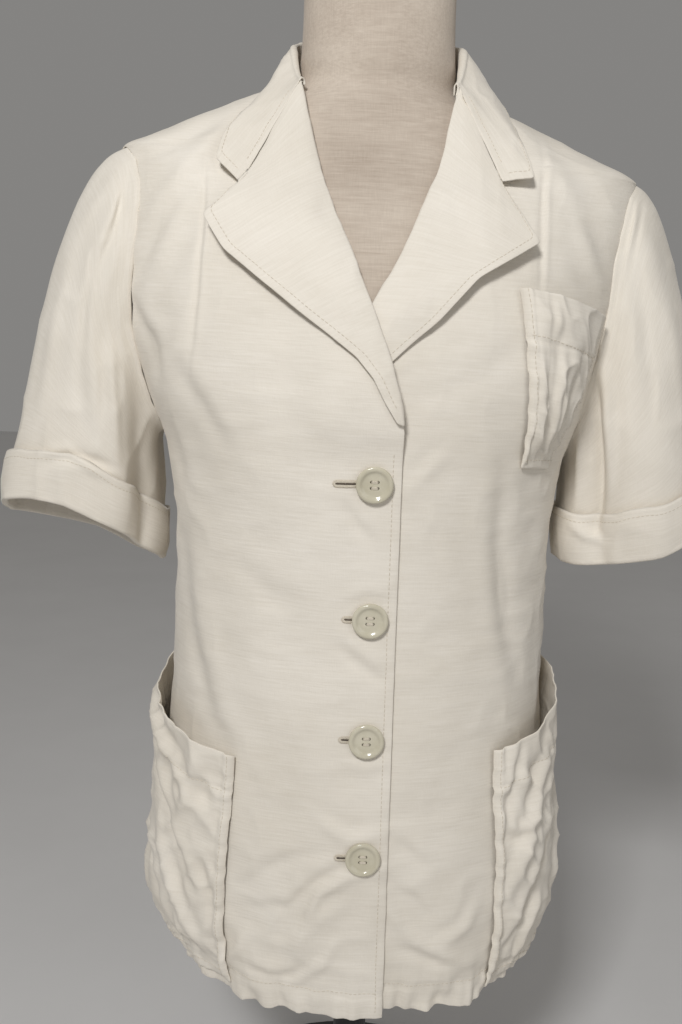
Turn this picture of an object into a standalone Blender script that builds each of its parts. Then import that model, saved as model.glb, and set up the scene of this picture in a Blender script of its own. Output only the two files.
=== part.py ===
"""Short-sleeved linen jacket worn by a limbless dress form on a low round stand.

The frame is in metres: +X is the wearer's left, -Y is the front, +Z is up, and the origin is
the middle of the stand's underside. The body of the jacket is a stack of level rings, and the
panels, lapels, pockets and the dress form are all cut from that one surface.
"""

import math
from typing import NamedTuple

import bmesh
import bpy
import numpy as np
from mathutils import Matrix, Vector

# Cloth and seams
WALL = 0.0015
LAPEL_WALL = 0.0018
CUFF_WALL = 0.0022
SEAM_GAP = 0.0003
SAFE_GAP = 0.0006
POCKET_GAP = 0.00095

# Heights of the jacket
HEM_Z = 0.214
HEM_RISE = 0.012
HEM_RISE_POWER = 4
HEM_FADE = 0.12
LEFT_FRONT_SHORTER = 0.006
UNDERARM_Z = 0.630
SHOULDER_Z = 0.836
GORGE_Z = 0.881
NECKLINE_Z = 0.893
BREAK_Z = 0.650

# Lean of the shoulders, down to the wearer's left
LEAN = 0.045
LEAN_START_Z = 0.45
LEAN_FULL_Z = 0.75

# Armholes, front and back of the side seam
ARMHOLE_FRONT = 0.047
ARMHOLE_BACK = 0.046
ARMHOLE_OVAL = (2.6, 2.2)
ARMHOLE_GAP = 0.0005
ARMHOLE_TUCK = 0.0009
RIGHT_SHOULDER_TURN = 80.0
LEFT_SHOULDER_TURN = 86.0

# Front edges and their overlap
FRONT_EDGE_X = 0.0205
UNDER_EDGE_X = -0.018
OVERLAP_LIFT = 0.0024
CROSSING_LIFT = 0.0075
OVERLAP_START_X = -0.060
OVERLAP_FULL_X = -0.022
CROSSING_START_Z = 0.625
CROSSING_RISE = 0.035
OVERLAP_FADE_Z = 0.735
OVERLAP_FADE = 0.060
LEFT_FRONT_SHORT_WIDTH = 0.120

# Buttons
BUTTON_X = 0.003
BUTTON_RADIUS = 0.0127
BUTTON_THICKNESS = 0.0040
BUTTON_HEIGHTS = (0.614, 0.518, 0.430, 0.342)
BUTTON_HOLE_RADIUS = 0.0011
BUTTON_HOLE_SPACING = 0.0042

# Collar
NECK_AXIS_Y = 0.018
COLLAR_FOLD_RADIUS = 0.0028
COLLAR_BULGE = 0.0008
STAND_CLEARANCE = 0.0026
GORGE_GAP = 0.0018
FALL_STEPS = 5
LAPEL_SWELL = 0.05
ROLL_CLEARANCE = 0.0012

# Sleeves, with how far their heads spread before they fall
SLEEVE_ROWS = 12
RIGHT_CAP_SPREAD = 0.100
LEFT_CAP_SPREAD = 0.048
CAP_OUTWARD = 0.055
CAP_FORWARD = 0.030
CAP_DROP = 0.012
CAP_TOP_DROP = 0.038
SLEEVE_FLARE = 0.180
SLEEVE_PULL = 1.05
HEM_RING_SQUARE = 2.3

# Turned-up cuffs
CUFF_DEPTH = 0.036
CUFF_STANDOFF = 0.0012
CUFF_CLEARANCE = 0.0008
CUFF_FOLD = 0.010
CUFF_ROUND = 0.0014

# Pockets
POCKET_SWELL = 1.7
POCKET_SWELL_POWER = 0.8
POCKET_BACK_CLOSE = 0.45
POCKET_CLOSE_START = 0.45
POCKET_CLOSE_SPAN = 0.40
POCKET_FOOT_SHARE = 5.0

# Rows and columns of the body panels
HIP_ROWS = 10
SIDE_ROWS_Z = 0.575
UNDERARM_STEPS = (0.0, 0.004, 0.013, 0.028)
CHEST_ROWS_Z = 0.685
SHOULDER_ROWS = (0.800, 0.814, 0.825, 0.832)
TOP_ROWS = 8
FRONT_COLUMNS = 12
BACK_COLUMNS = 19

# Dress form and stand
NECK_TOP_Z = 0.990
FORM_BOTTOM_Z = 0.262
FORM_CLOSE_Z = 0.570
FORM_CLEARANCE = 0.0013
POLE_RADIUS = 0.014
BASE_RADIUS = 0.150
BASE_THICKNESS = 0.012
FORM_PLATE_RADIUS = 0.045
FORM_PLATE_THICKNESS = 0.010
FORM_SIDES = 32
NECK_CAP = 0.004
BASE_CHAMFER = 0.006
SOCKET_HEIGHT = 0.012


class Section(NamedTuple):
    """One level ring of the jacket's body: half widths and depths from the side seams."""

    z: float
    right: float
    left: float
    front: float
    back: float
    square: float


SECTIONS = (
    Section(z=0.215, right=0.152, left=0.150, front=0.122, back=0.130, square=2.12),
    Section(z=0.240, right=0.158, left=0.156, front=0.124, back=0.134, square=2.12),
    Section(z=0.270, right=0.162, left=0.158, front=0.125, back=0.136, square=2.16),
    Section(z=0.330, right=0.159, left=0.154, front=0.125, back=0.132, square=2.20),
    Section(z=0.380, right=0.155, left=0.148, front=0.123, back=0.124, square=2.20),
    Section(z=0.450, right=0.151, left=0.144, front=0.122, back=0.110, square=2.20),
    Section(z=0.500, right=0.150, left=0.145, front=0.121, back=0.102, square=2.20),
    Section(z=0.560, right=0.149, left=0.145, front=0.124, back=0.100, square=2.20),
    Section(z=0.620, right=0.156, left=0.149, front=0.130, back=0.104, square=2.20),
    Section(z=0.670, right=0.175, left=0.164, front=0.133, back=0.109, square=2.20),
    Section(z=0.720, right=0.189, left=0.178, front=0.128, back=0.114, square=2.20),
    Section(z=0.780, right=0.193, left=0.190, front=0.108, back=0.114, square=2.20),
    Section(z=0.815, right=0.194, left=0.198, front=0.086, back=0.107, square=2.20),
    Section(z=0.836, right=0.189, left=0.198, front=0.073, back=0.098, square=2.20),
    Section(z=0.852, right=0.158, left=0.163, front=0.063, back=0.090, square=2.20),
    Section(z=0.877, right=0.098, left=0.099, front=0.052, back=0.080, square=2.15),
    Section(z=0.893, right=0.062, left=0.062, front=0.044, back=0.076, square=2.05),
    Section(z=0.915, right=0.0570, left=0.0570, front=0.041, back=0.072, square=2.00),
    Section(z=0.950, right=0.0560, left=0.0560, front=0.041, back=0.069, square=2.00),
    Section(z=0.995, right=0.0560, left=0.0560, front=0.043, back=0.067, square=2.00),
)


class EdgePoint(NamedTuple):
    """A point of a roll line or a lapel's edge: its height and its place across the front."""

    z: float
    x: float


RIGHT_ROLL = (
    EdgePoint(z=0.650, x=0.0205),
    EdgePoint(z=0.690, x=0.0120),
    EdgePoint(z=0.725, x=-0.0010),
    EdgePoint(z=0.774, x=-0.0210),
    EdgePoint(z=0.812, x=-0.0360),
    EdgePoint(z=0.851, x=-0.0480),
    EdgePoint(z=0.881, x=-0.0545),
)

LEFT_ROLL = (
    EdgePoint(z=0.650, x=-0.0180),
    EdgePoint(z=0.690, x=-0.0120),
    EdgePoint(z=0.725, x=-0.0050),
    EdgePoint(z=0.755, x=0.0120),
    EdgePoint(z=0.785, x=0.0260),
    EdgePoint(z=0.828, x=0.0430),
    EdgePoint(z=0.861, x=0.0510),
    EdgePoint(z=0.881, x=0.0560),
)


class LapelRow(NamedTuple):
    """One row across a lapel: where it leaves the roll line and where it meets the edge."""

    roll_z: float
    edge_x: float
    edge_z: float
    edge_lift: float


RIGHT_LAPEL = (
    LapelRow(roll_z=0.655, edge_x=0.0160, edge_z=0.656, edge_lift=0.0006),
    LapelRow(roll_z=0.668, edge_x=0.0080, edge_z=0.669, edge_lift=0.0010),
    LapelRow(roll_z=0.684, edge_x=0.0000, edge_z=0.684, edge_lift=0.0015),
    LapelRow(roll_z=0.702, edge_x=-0.0110, edge_z=0.697, edge_lift=0.0020),
    LapelRow(roll_z=0.722, edge_x=-0.0280, edge_z=0.710, edge_lift=0.0030),
    LapelRow(roll_z=0.748, edge_x=-0.0520, edge_z=0.728, edge_lift=0.0045),
    LapelRow(roll_z=0.778, edge_x=-0.0760, edge_z=0.746, edge_lift=0.0060),
    LapelRow(roll_z=0.806, edge_x=-0.0990, edge_z=0.764, edge_lift=0.0080),
    LapelRow(roll_z=0.830, edge_x=-0.1120, edge_z=0.785, edge_lift=0.0100),
    LapelRow(roll_z=0.854, edge_x=-0.1000, edge_z=0.798, edge_lift=0.0070),
    LapelRow(roll_z=0.881, edge_x=-0.0900, edge_z=0.808, edge_lift=0.0045),
)

LEFT_LAPEL = (
    LapelRow(roll_z=0.662, edge_x=-0.0120, edge_z=0.662, edge_lift=0.0004),
    LapelRow(roll_z=0.676, edge_x=-0.0040, edge_z=0.674, edge_lift=0.0004),
    LapelRow(roll_z=0.690, edge_x=0.0060, edge_z=0.690, edge_lift=0.0006),
    LapelRow(roll_z=0.706, edge_x=0.0230, edge_z=0.706, edge_lift=0.0020),
    LapelRow(roll_z=0.726, edge_x=0.0420, edge_z=0.723, edge_lift=0.0040),
    LapelRow(roll_z=0.754, edge_x=0.0650, edge_z=0.748, edge_lift=0.0060),
    LapelRow(roll_z=0.786, edge_x=0.0870, edge_z=0.761, edge_lift=0.0075),
    LapelRow(roll_z=0.818, edge_x=0.1060, edge_z=0.773, edge_lift=0.0080),
    LapelRow(roll_z=0.848, edge_x=0.0910, edge_z=0.795, edge_lift=0.0060),
    LapelRow(roll_z=0.881, edge_x=0.0800, edge_z=0.815, edge_lift=0.0045),
)


class CollarStation(NamedTuple):
    """One station round the collar, as an angle from the front, for its fold and its edge."""

    fold_turn: float
    fold_z: float
    fold_radius: float
    edge_turn: float
    edge_z: float
    edge_lift: float


# Turns are degrees from the centre front, and fold_radius is the distance from the neck's axis.
COLLAR_RIGHT = (
    CollarStation(43, fold_z=0.8905, fold_radius=0.0795, edge_turn=25.8, edge_z=0.8045, edge_lift=0.0045),
    CollarStation(48, fold_z=0.8940, fold_radius=0.0765, edge_turn=32.0, edge_z=0.8200, edge_lift=0.0070),
    CollarStation(58, fold_z=0.9040, fold_radius=0.0705, edge_turn=32.5, edge_z=0.8400, edge_lift=0.0055),
    CollarStation(82, fold_z=0.9250, fold_radius=0.0640, edge_turn=74.0, edge_z=0.8830, edge_lift=0.0020),
    CollarStation(115, fold_z=0.9350, fold_radius=0.0630, edge_turn=113.0, edge_z=0.8820, edge_lift=0.0025),
    CollarStation(148, fold_z=0.9370, fold_radius=0.0630, edge_turn=147.0, edge_z=0.8810, edge_lift=0.0030),
)
COLLAR_BACK = CollarStation(180, fold_z=0.9375, fold_radius=0.0632, edge_turn=180.0, edge_z=0.8800,
                            edge_lift=0.0030)
COLLAR_LEFT = (
    CollarStation(43, fold_z=0.8895, fold_radius=0.0800, edge_turn=22.7, edge_z=0.8185, edge_lift=0.0045),
    CollarStation(48, fold_z=0.8935, fold_radius=0.0770, edge_turn=29.6, edge_z=0.8200, edge_lift=0.0090),
    CollarStation(58, fold_z=0.9040, fold_radius=0.0710, edge_turn=30.5, edge_z=0.8440, edge_lift=0.0055),
    CollarStation(82, fold_z=0.9250, fold_radius=0.0640, edge_turn=73.0, edge_z=0.8780, edge_lift=0.0025),
    CollarStation(115, fold_z=0.9350, fold_radius=0.0630, edge_turn=113.0, edge_z=0.8810, edge_lift=0.0025),
    CollarStation(148, fold_z=0.9370, fold_radius=0.0630, edge_turn=147.0, edge_z=0.8810, edge_lift=0.0030),
)


class SleeveRing(NamedTuple):
    """The ring at a sleeve's hem: its four quarter points, as seen from the front."""

    outer: tuple[float, float, float]
    front: tuple[float, float, float]
    inner: tuple[float, float, float]
    back: tuple[float, float, float]


RIGHT_HEM_RING = SleeveRing(
    outer=(-0.284, 0.004, 0.569),
    front=(-0.226, -0.052, 0.583),
    inner=(-0.168, 0.018, 0.529),
    back=(-0.228, 0.056, 0.548),
)
LEFT_HEM_RING = SleeveRing(
    outer=(0.268, 0.004, 0.584),
    front=(0.222, -0.052, 0.556),
    inner=(0.158, 0.006, 0.542),
    back=(0.222, 0.056, 0.552),
)


class SleeveFold(NamedTuple):
    """A soft fold down a sleeve: height is out of the sleeve, so a trough has it below zero."""

    turn: float
    along: float
    width: float
    length: float
    height: float


# Turns run round the sleeve: 0 outer, 90 front, 180 inner and 270 back.
RIGHT_SLEEVE_FOLDS = (
    SleeveFold(turn=148, along=0.72, width=16, length=0.36, height=-0.012),
    SleeveFold(turn=118, along=0.62, width=20, length=0.45, height=0.006),
    SleeveFold(turn=62, along=0.70, width=26, length=0.40, height=-0.005),
    SleeveFold(turn=235, along=0.66, width=22, length=0.40, height=-0.006),
    SleeveFold(turn=300, along=0.55, width=24, length=0.40, height=0.004),
)
LEFT_SLEEVE_FOLDS = (
    SleeveFold(turn=130, along=0.66, width=18, length=0.36, height=-0.009),
    SleeveFold(turn=100, along=0.60, width=22, length=0.42, height=0.005),
    SleeveFold(turn=150, along=0.74, width=12, length=0.30, height=0.003),
    SleeveFold(turn=232, along=0.60, width=24, length=0.40, height=-0.006),
    SleeveFold(turn=296, along=0.62, width=22, length=0.42, height=0.004),
)


class BodyFold(NamedTuple):
    """A soft fold on the body: a ridge or trough centred at a turn and a height."""

    turn: float
    z: float
    width: float
    length: float
    slant: float
    height: float


# Turns are degrees from the centre front, positive to the wearer's left.
BODY_FOLDS = (
    BodyFold(turn=-78, z=0.230, width=9, length=0.090, slant=40, height=0.005),
    BodyFold(turn=-112, z=0.235, width=10, length=0.110, slant=-20, height=0.006),
    BodyFold(turn=-140, z=0.225, width=11, length=0.120, slant=10, height=-0.006),
    BodyFold(turn=118, z=0.255, width=16, length=0.120, slant=4, height=0.024),
    BodyFold(turn=138, z=0.230, width=10, length=0.100, slant=-10, height=-0.005),
    BodyFold(turn=166, z=0.225, width=12, length=0.130, slant=15, height=0.005),
    BodyFold(turn=-168, z=0.230, width=11, length=0.120, slant=-15, height=0.004),
    BodyFold(turn=-26, z=0.235, width=8, length=0.080, slant=60, height=0.003),
    BodyFold(turn=28, z=0.230, width=8, length=0.090, slant=-50, height=0.003),
)


class PatchPocket(NamedTuple):
    """A patch pocket: turns and heights of its corners, and how far its mouth gapes."""

    front_top: tuple[float, float]
    front_bottom: tuple[float, float]
    back_top: tuple[float, float]
    back_bottom: tuple[float, float]
    gape: float
    bottom_gape: float
    columns: int
    rows: int


HIP_POCKET_RIGHT = PatchPocket(front_top=(-34.0, 0.408), front_bottom=(-36.0, 0.2230),
                               back_top=(-103.0, 0.452), back_bottom=(-106.0, 0.2230),
                               gape=0.0125, bottom_gape=0.0060, columns=12, rows=8)
HIP_POCKET_LEFT = PatchPocket(front_top=(39.0, 0.415), front_bottom=(39.0, 0.2230),
                              back_top=(97.0, 0.455), back_bottom=(94.0, 0.2230),
                              gape=0.0125, bottom_gape=0.0060, columns=12, rows=8)
CHEST_POCKET = PatchPocket(front_top=(28.9, 0.748), front_bottom=(42.5, 0.6270),
                           back_top=(63.5, 0.735), back_bottom=(59.5, 0.6240),
                           gape=0.0098, bottom_gape=0.0045, columns=8, rows=7)


class FormExtra(NamedTuple):
    """A height at which the dress form lies further inside the jacket."""

    z: float
    spread: float
    depth: float


FORM_HOLLOW = 0.022
FORM_HOLLOW_Z = 0.480
FORM_HOLLOW_FADE = 0.120
FORM_EXTRAS = (
    FormExtra(z=SHOULDER_Z, spread=0.016, depth=0.0028),
    FormExtra(z=UNDERARM_Z, spread=0.020, depth=0.0010),
)


class Finish(NamedTuple):
    """Colour, roughness and metallic value of a material."""

    colour: tuple[float, float, float]
    roughness: float
    metallic: float


LINEN = Finish(colour=(0.74, 0.69, 0.60), roughness=0.90, metallic=0.0)
BUTTON = Finish(colour=(0.62, 0.58, 0.46), roughness=0.18, metallic=0.0)
FORM_LINEN = Finish(colour=(0.56, 0.49, 0.42), roughness=0.92, metallic=0.0)
STEEL = Finish(colour=(0.03, 0.03, 0.03), roughness=0.40, metallic=0.8)


def ease(value: float) -> float:
    """Rise smoothly from 0 to 1 while the value goes from 0 to 1."""
    t = min(max(value, 0.0), 1.0)
    return t * t * (3.0 - 2.0 * t)


def curve_slopes(places: np.ndarray, values: np.ndarray) -> np.ndarray:
    """Slopes of a smooth curve through the values that never overshoots them."""
    steps = np.diff(places)
    rises = np.diff(values) / steps
    slopes = np.zeros_like(values)
    slopes[0], slopes[-1] = rises[0], rises[-1]
    for i in range(1, len(values) - 1):
        if rises[i - 1] * rises[i] > 0.0:
            first = 2.0 * steps[i] + steps[i - 1]
            second = steps[i] + 2.0 * steps[i - 1]
            slopes[i] = (first + second) / (first / rises[i - 1] + second / rises[i])
    return slopes


class Curve:
    """A smooth curve through table values, read at any place along the table."""

    def __init__(self, places, values) -> None:
        self.places = np.asarray(places, dtype=float)
        self.values = np.asarray(values, dtype=float)
        self.slopes = curve_slopes(self.places, self.values)

    def __call__(self, place: float) -> float:
        place = min(max(place, self.places[0]), self.places[-1])
        i = min(int(np.searchsorted(self.places, place, side="right")) - 1, len(self.places) - 2)
        step = self.places[i + 1] - self.places[i]
        t = (place - self.places[i]) / step
        return (
            (2 * t**3 - 3 * t**2 + 1) * self.values[i]
            + (t**3 - 2 * t**2 + t) * step * self.slopes[i]
            + (3 * t**2 - 2 * t**3) * self.values[i + 1]
            + (t**3 - t**2) * step * self.slopes[i + 1]
        )


def lean_at(z: float) -> float:
    """Lean of the ring at a height."""
    return LEAN * ease((z - LEAN_START_Z) / (LEAN_FULL_Z - LEAN_START_Z))


def hem_rise(turn: float, z: float) -> float:
    """Height by which the hem curves up towards the sides, fading out above it."""
    near_hem = max(0.0, 1.0 - (z - HEM_Z) / HEM_FADE)
    return HEM_RISE * math.sin(math.radians(turn)) ** HEM_RISE_POWER * near_hem**2


class Torso:
    """The jacket's outer surface, as level rings that close over the shoulders."""

    def __init__(self, sections: tuple[Section, ...], folds: tuple[BodyFold, ...]) -> None:
        heights = [section.z for section in sections]
        self.right = Curve(heights, [section.right for section in sections])
        self.left = Curve(heights, [section.left for section in sections])
        self.front = Curve(heights, [section.front for section in sections])
        self.back = Curve(heights, [section.back for section in sections])
        self.square = Curve(heights, [section.square for section in sections])
        self.folds = folds

    def bare(self, turn: float, z: float) -> Vector:
        """Point at a turn from the centre front, in degrees, without folds."""
        sine, cosine = math.sin(math.radians(turn)), math.cos(math.radians(turn))
        width = self.left(z) if sine >= 0.0 else self.right(z)
        depth = self.front(z) if cosine >= 0.0 else self.back(z)
        power = 2.0 / self.square(z)
        x = math.copysign(width * abs(sine) ** power, sine)
        y = -math.copysign(depth * abs(cosine) ** power, cosine)
        return Vector((x, y, z - lean_at(z) * x + hem_rise(turn, z)))

    def normal(self, turn: float, z: float) -> Vector:
        """Direction out of the surface."""
        around = self.bare(turn + 1.5, z) - self.bare(turn - 1.5, z)
        upward = self.bare(turn, z + 0.003) - self.bare(turn, z - 0.003)
        return around.cross(upward).normalized()

    def fold_height(self, turn: float, z: float) -> float:
        """Height of the cloth's folds at a place on the body."""
        height = 0.0
        for fold in self.folds:
            across = (turn - fold.turn + 180.0) % 360.0 - 180.0
            across -= math.tan(math.radians(fold.slant)) * (z - fold.z) * 100.0
            along = (z - fold.z) / fold.length
            height += fold.height * math.exp(-((across / fold.width) ** 2) - along**2)
        return height

    def point(self, turn: float, z: float, lift: float = 0.0, folded: bool = True) -> Vector:
        """Point on the surface, moved out by a lift."""
        height = lift + (self.fold_height(turn, z) if folded else 0.0)
        return self.bare(turn, z) + self.normal(turn, z) * height

    def turn_at(self, x: float, z: float) -> float:
        """Turn at which the front of the ring has a given place across."""
        width = self.left(z) if x >= 0.0 else self.right(z)
        sine = min(abs(x) / width, 1.0) ** (self.square(z) / 2.0)
        return math.copysign(math.degrees(math.asin(sine)), x)

    def radius(self, z: float) -> float:
        """Mean radius of a ring, which turns a gap into an angle."""
        return (self.right(z) + self.left(z) + self.front(z) + self.back(z)) / 4.0


def level_of(x: float, z: float) -> float:
    """Ring height that the lean carries to the height z at the place x."""
    return z + lean_at(z) * x


TORSO = Torso(SECTIONS, BODY_FOLDS)


def front_point(x: float, z: float, lift: float) -> Vector:
    """Point on the jacket's front at a true place across and a true height."""
    level = level_of(x, z)
    return TORSO.point(TORSO.turn_at(x, level), level, lift)


# Meshes and solids

def add_solid(name: str, mesh_data: bmesh.types.BMesh, finish: Finish) -> bpy.types.Object:
    """Make a named object from a closed mesh, with its own material."""
    bmesh.ops.recalc_face_normals(mesh_data, faces=mesh_data.faces)
    mesh = bpy.data.meshes.new(name)
    mesh_data.to_mesh(mesh)
    mesh_data.free()
    mesh.shade_smooth()
    mesh.set_sharp_from_angle(angle=math.radians(40.0))
    material = bpy.data.materials.new(name)
    material.use_nodes = True
    shader = material.node_tree.nodes["Principled BSDF"]
    shader.inputs["Base Color"].default_value = (*finish.colour, 1.0)
    shader.inputs["Roughness"].default_value = finish.roughness
    shader.inputs["Metallic"].default_value = finish.metallic
    mesh.materials.append(material)
    solid = bpy.data.objects.new(name, mesh)
    bpy.context.scene.collection.objects.link(solid)
    return solid


def grid_normals(grid: np.ndarray, ring: bool) -> np.ndarray:
    """Unit normals of a grid of points, by differences along its rows and columns."""
    if ring:
        around = np.roll(grid, -1, axis=1) - np.roll(grid, 1, axis=1)
    else:
        around = np.gradient(grid, axis=1)
    along = np.gradient(grid, axis=0)
    normals = np.cross(around, along)
    return normals / np.linalg.norm(normals, axis=2, keepdims=True)


def shell(
    grid: np.ndarray, wall: float, ring: bool = False, normals: np.ndarray | None = None
) -> bmesh.types.BMesh:
    """Closed cloth solid: the grid is its outer face, and its inner face is one wall inside.

    The columns run so that columns crossed with rows point out of the cloth. A ring's last
    column meets its first. Panels that share a seam give their own normals, so their edges
    stay parallel.
    """
    inner = grid - (grid_normals(grid, ring) if normals is None else normals) * wall
    rows, columns = grid.shape[:2]
    mesh = bmesh.new()
    sheets = [[[mesh.verts.new(point) for point in row] for row in sheet] for sheet in (grid, inner)]
    spans = columns if ring else columns - 1
    for sheet in sheets:
        for i in range(rows - 1):
            for j in range(spans):
                k = (j + 1) % columns
                mesh.faces.new((sheet[i][j], sheet[i][k], sheet[i + 1][k], sheet[i + 1][j]))
    outer_sheet, inner_sheet = sheets
    for i in (0, rows - 1):
        for j in range(spans):
            k = (j + 1) % columns
            mesh.faces.new((outer_sheet[i][j], outer_sheet[i][k], inner_sheet[i][k], inner_sheet[i][j]))
    if not ring:
        for j in (0, columns - 1):
            for i in range(rows - 1):
                mesh.faces.new(
                    (outer_sheet[i][j], outer_sheet[i + 1][j], inner_sheet[i + 1][j], inner_sheet[i][j])
                )
    return mesh


def turned_solid(profile: list[tuple[float, float]], sides: int) -> bmesh.types.BMesh:
    """Solid of revolution about Z from an outline of radius and height, with flat ends."""
    mesh = bmesh.new()
    rings = []
    for radius, z in profile:
        ring = [
            mesh.verts.new((radius * math.cos(a), radius * math.sin(a), z))
            for a in (2.0 * math.pi * j / sides for j in range(sides))
        ]
        rings.append(ring)
    for lower, upper in zip(rings, rings[1:]):
        for j in range(sides):
            k = (j + 1) % sides
            mesh.faces.new((lower[j], lower[k], upper[k], upper[j]))
    mesh.faces.new(rings[0])
    mesh.faces.new(rings[-1])
    return mesh


# Seams on the body

def shoulder_turn(side: int) -> float:
    """Turn of the shoulder seam, which lies just in front of the ridge."""
    return RIGHT_SHOULDER_TURN if side < 0 else LEFT_SHOULDER_TURN


def armhole_turn(side: int, z: float, front: bool) -> float:
    """Turn of the armhole seam at a ring height, on the front or the back of a side."""
    t = min(max((z - UNDERARM_Z) / (SHOULDER_Z - UNDERARM_Z), 0.0), 1.0)
    half_width = ARMHOLE_FRONT if front else ARMHOLE_BACK
    oval = (1.0 - abs(2.0 * t - 1.0) ** ARMHOLE_OVAL[0]) ** (1.0 / ARMHOLE_OVAL[1])
    seam = (shoulder_turn(side) - 90.0) * ease(t)
    depth = TORSO.front(z) if front else TORSO.back(z)
    slip = math.degrees(math.asin((half_width * oval / depth) ** (TORSO.square(z) / 2.0)))
    return 90.0 + seam - slip if front else 90.0 + seam + slip


def side_turn(side: int, z: float, front: bool) -> float:
    """Turn at which a panel ends on a side: side seam, armhole, then shoulder seam."""
    if z <= UNDERARM_Z:
        edge = 90.0
    elif z < SHOULDER_Z:
        edge = armhole_turn(side, z, front)
    else:
        edge = shoulder_turn(side)
    gap = math.degrees(0.5 * SEAM_GAP / TORSO.radius(z))
    return edge - gap if front else edge + gap


def panel_rows() -> list[float]:
    """Ring heights of the body panels, closer together where the shape turns."""
    hips = np.linspace(HEM_Z, SIDE_ROWS_Z, HIP_ROWS, endpoint=False)
    sides = np.linspace(SIDE_ROWS_Z, UNDERARM_Z, 2, endpoint=False)
    underarm = np.array(UNDERARM_STEPS) + UNDERARM_Z
    chest = np.linspace(CHEST_ROWS_Z, SHOULDER_ROWS[0], 4, endpoint=False)
    shoulder = np.array(SHOULDER_ROWS)
    top = np.linspace(SHOULDER_Z, NECKLINE_Z, TOP_ROWS)
    return [float(z) for z in np.concatenate([hips, sides, underarm, chest, shoulder, top])]


def overlap_lift(x: float, z: float) -> float:
    """How far the overlapping right front stands out over the left front."""
    across = ease((x - OVERLAP_START_X) / (OVERLAP_FULL_X - OVERLAP_START_X))
    crossing = (CROSSING_LIFT - OVERLAP_LIFT) * ease((z - CROSSING_START_Z) / CROSSING_RISE)
    fade = 1.0 - ease((z - OVERLAP_FADE_Z) / OVERLAP_FADE)
    return across * (OVERLAP_LIFT + crossing) * fade


def front_panel(side: int) -> tuple[np.ndarray, np.ndarray]:
    """Points and normals of one front, from its front edge or roll line out to its side."""
    table = RIGHT_ROLL if side < 0 else LEFT_ROLL
    roll = Curve([point.z for point in table], [point.x for point in table])
    straight_x = FRONT_EDGE_X if side < 0 else UNDER_EDGE_X
    columns = FRONT_COLUMNS
    rows, normals = [], []
    for z in panel_rows():
        outer = side * side_turn(side, z, True)
        if z <= GORGE_Z:
            edge_x = straight_x if z <= BREAK_Z else roll(z)
            inner = TORSO.turn_at(edge_x, z)
        else:
            near = TORSO.turn_at(roll(GORGE_Z), z)
            inner = near + (outer * 0.95 - near) * (z - GORGE_Z) / (NECKLINE_Z - GORGE_Z)
        turns = [inner + (outer - inner) * j / (columns - 1) for j in range(columns)]
        row = []
        for turn in turns:
            bare_x = TORSO.bare(turn, z).x
            point = TORSO.point(turn, z, overlap_lift(bare_x, z) if side < 0 else 0.0)
            if side > 0:
                near_hem = max(0.0, 1.0 - (z - HEM_Z) / HEM_FADE)
                point.z += LEFT_FRONT_SHORTER * near_hem * (1.0 - ease(bare_x / LEFT_FRONT_SHORT_WIDTH))
            row.append(point)
        rows.append(row if side > 0 else row[::-1])
        directions = [TORSO.normal(turn, z) for turn in turns]
        normals.append(directions if side > 0 else directions[::-1])
    return np.array(rows), np.array(normals)


def back_panel() -> tuple[np.ndarray, np.ndarray]:
    """Points and normals of the back, from the wearer's left side round to the right."""
    columns = BACK_COLUMNS
    rows, normals = [], []
    for z in panel_rows():
        start = side_turn(1, z, False)
        end = 360.0 - side_turn(-1, z, False)
        turns = [start + (end - start) * j / (columns - 1) for j in range(columns)]
        rows.append([TORSO.point(turn, z) for turn in turns])
        normals.append([TORSO.normal(turn, z) for turn in turns])
    return np.array(rows), np.array(normals)


# Collar and lapels

def fall_row(top: Vector, edge: Vector, out: Vector) -> list[Vector]:
    """Points of the turned-down cloth, from the fold to the edge, with a soft bulge."""
    middle = top.lerp(edge, 0.42) + out * COLLAR_BULGE + Vector((0.0, 0.0, COLLAR_BULGE))
    points = []
    for k in range(FALL_STEPS + 1):
        t = k / FALL_STEPS
        points.append(top * (1 - t) ** 2 + middle * (2 * t * (1 - t)) + edge * t**2)
    return points


def neckline_z(x: float, y: float) -> float:
    """Height of the neckline seam, which falls away to the front ends of the collar."""
    front = ease((-0.004 - y) / 0.037)
    return NECKLINE_Z - (NECKLINE_Z - GORGE_Z) * front - LEAN * x


def collar_profile(side: int, station: CollarStation) -> list[Vector]:
    """Points of one station of the collar, from the neck seam over the fold to the edge."""
    turn = math.radians(side * station.fold_turn)
    out = Vector((math.sin(turn), -math.cos(turn), 0.0))
    fold = Vector((0.0, NECK_AXIS_Y, 0.0)) + out * station.fold_radius
    fold.z = station.fold_z
    centre = fold - Vector((0.0, 0.0, COLLAR_FOLD_RADIUS))
    inside = centre - out * COLLAR_FOLD_RADIUS
    stand = inside.z - neckline_z(inside.x, inside.y) - STAND_CLEARANCE
    profile = [inside - Vector((0.0, 0.0, stand * k / 2)) for k in (2, 1)]
    for angle in (180.0, 135.0, 90.0, 45.0):
        a = math.radians(angle)
        around = out * math.cos(a) + Vector((0.0, 0.0, math.sin(a)))
        profile.append(centre + around * COLLAR_FOLD_RADIUS)
    edge = TORSO.point(side * station.edge_turn, station.edge_z, station.edge_lift + LAPEL_WALL, False)
    return profile + fall_row(centre + out * COLLAR_FOLD_RADIUS, edge, out)


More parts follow.
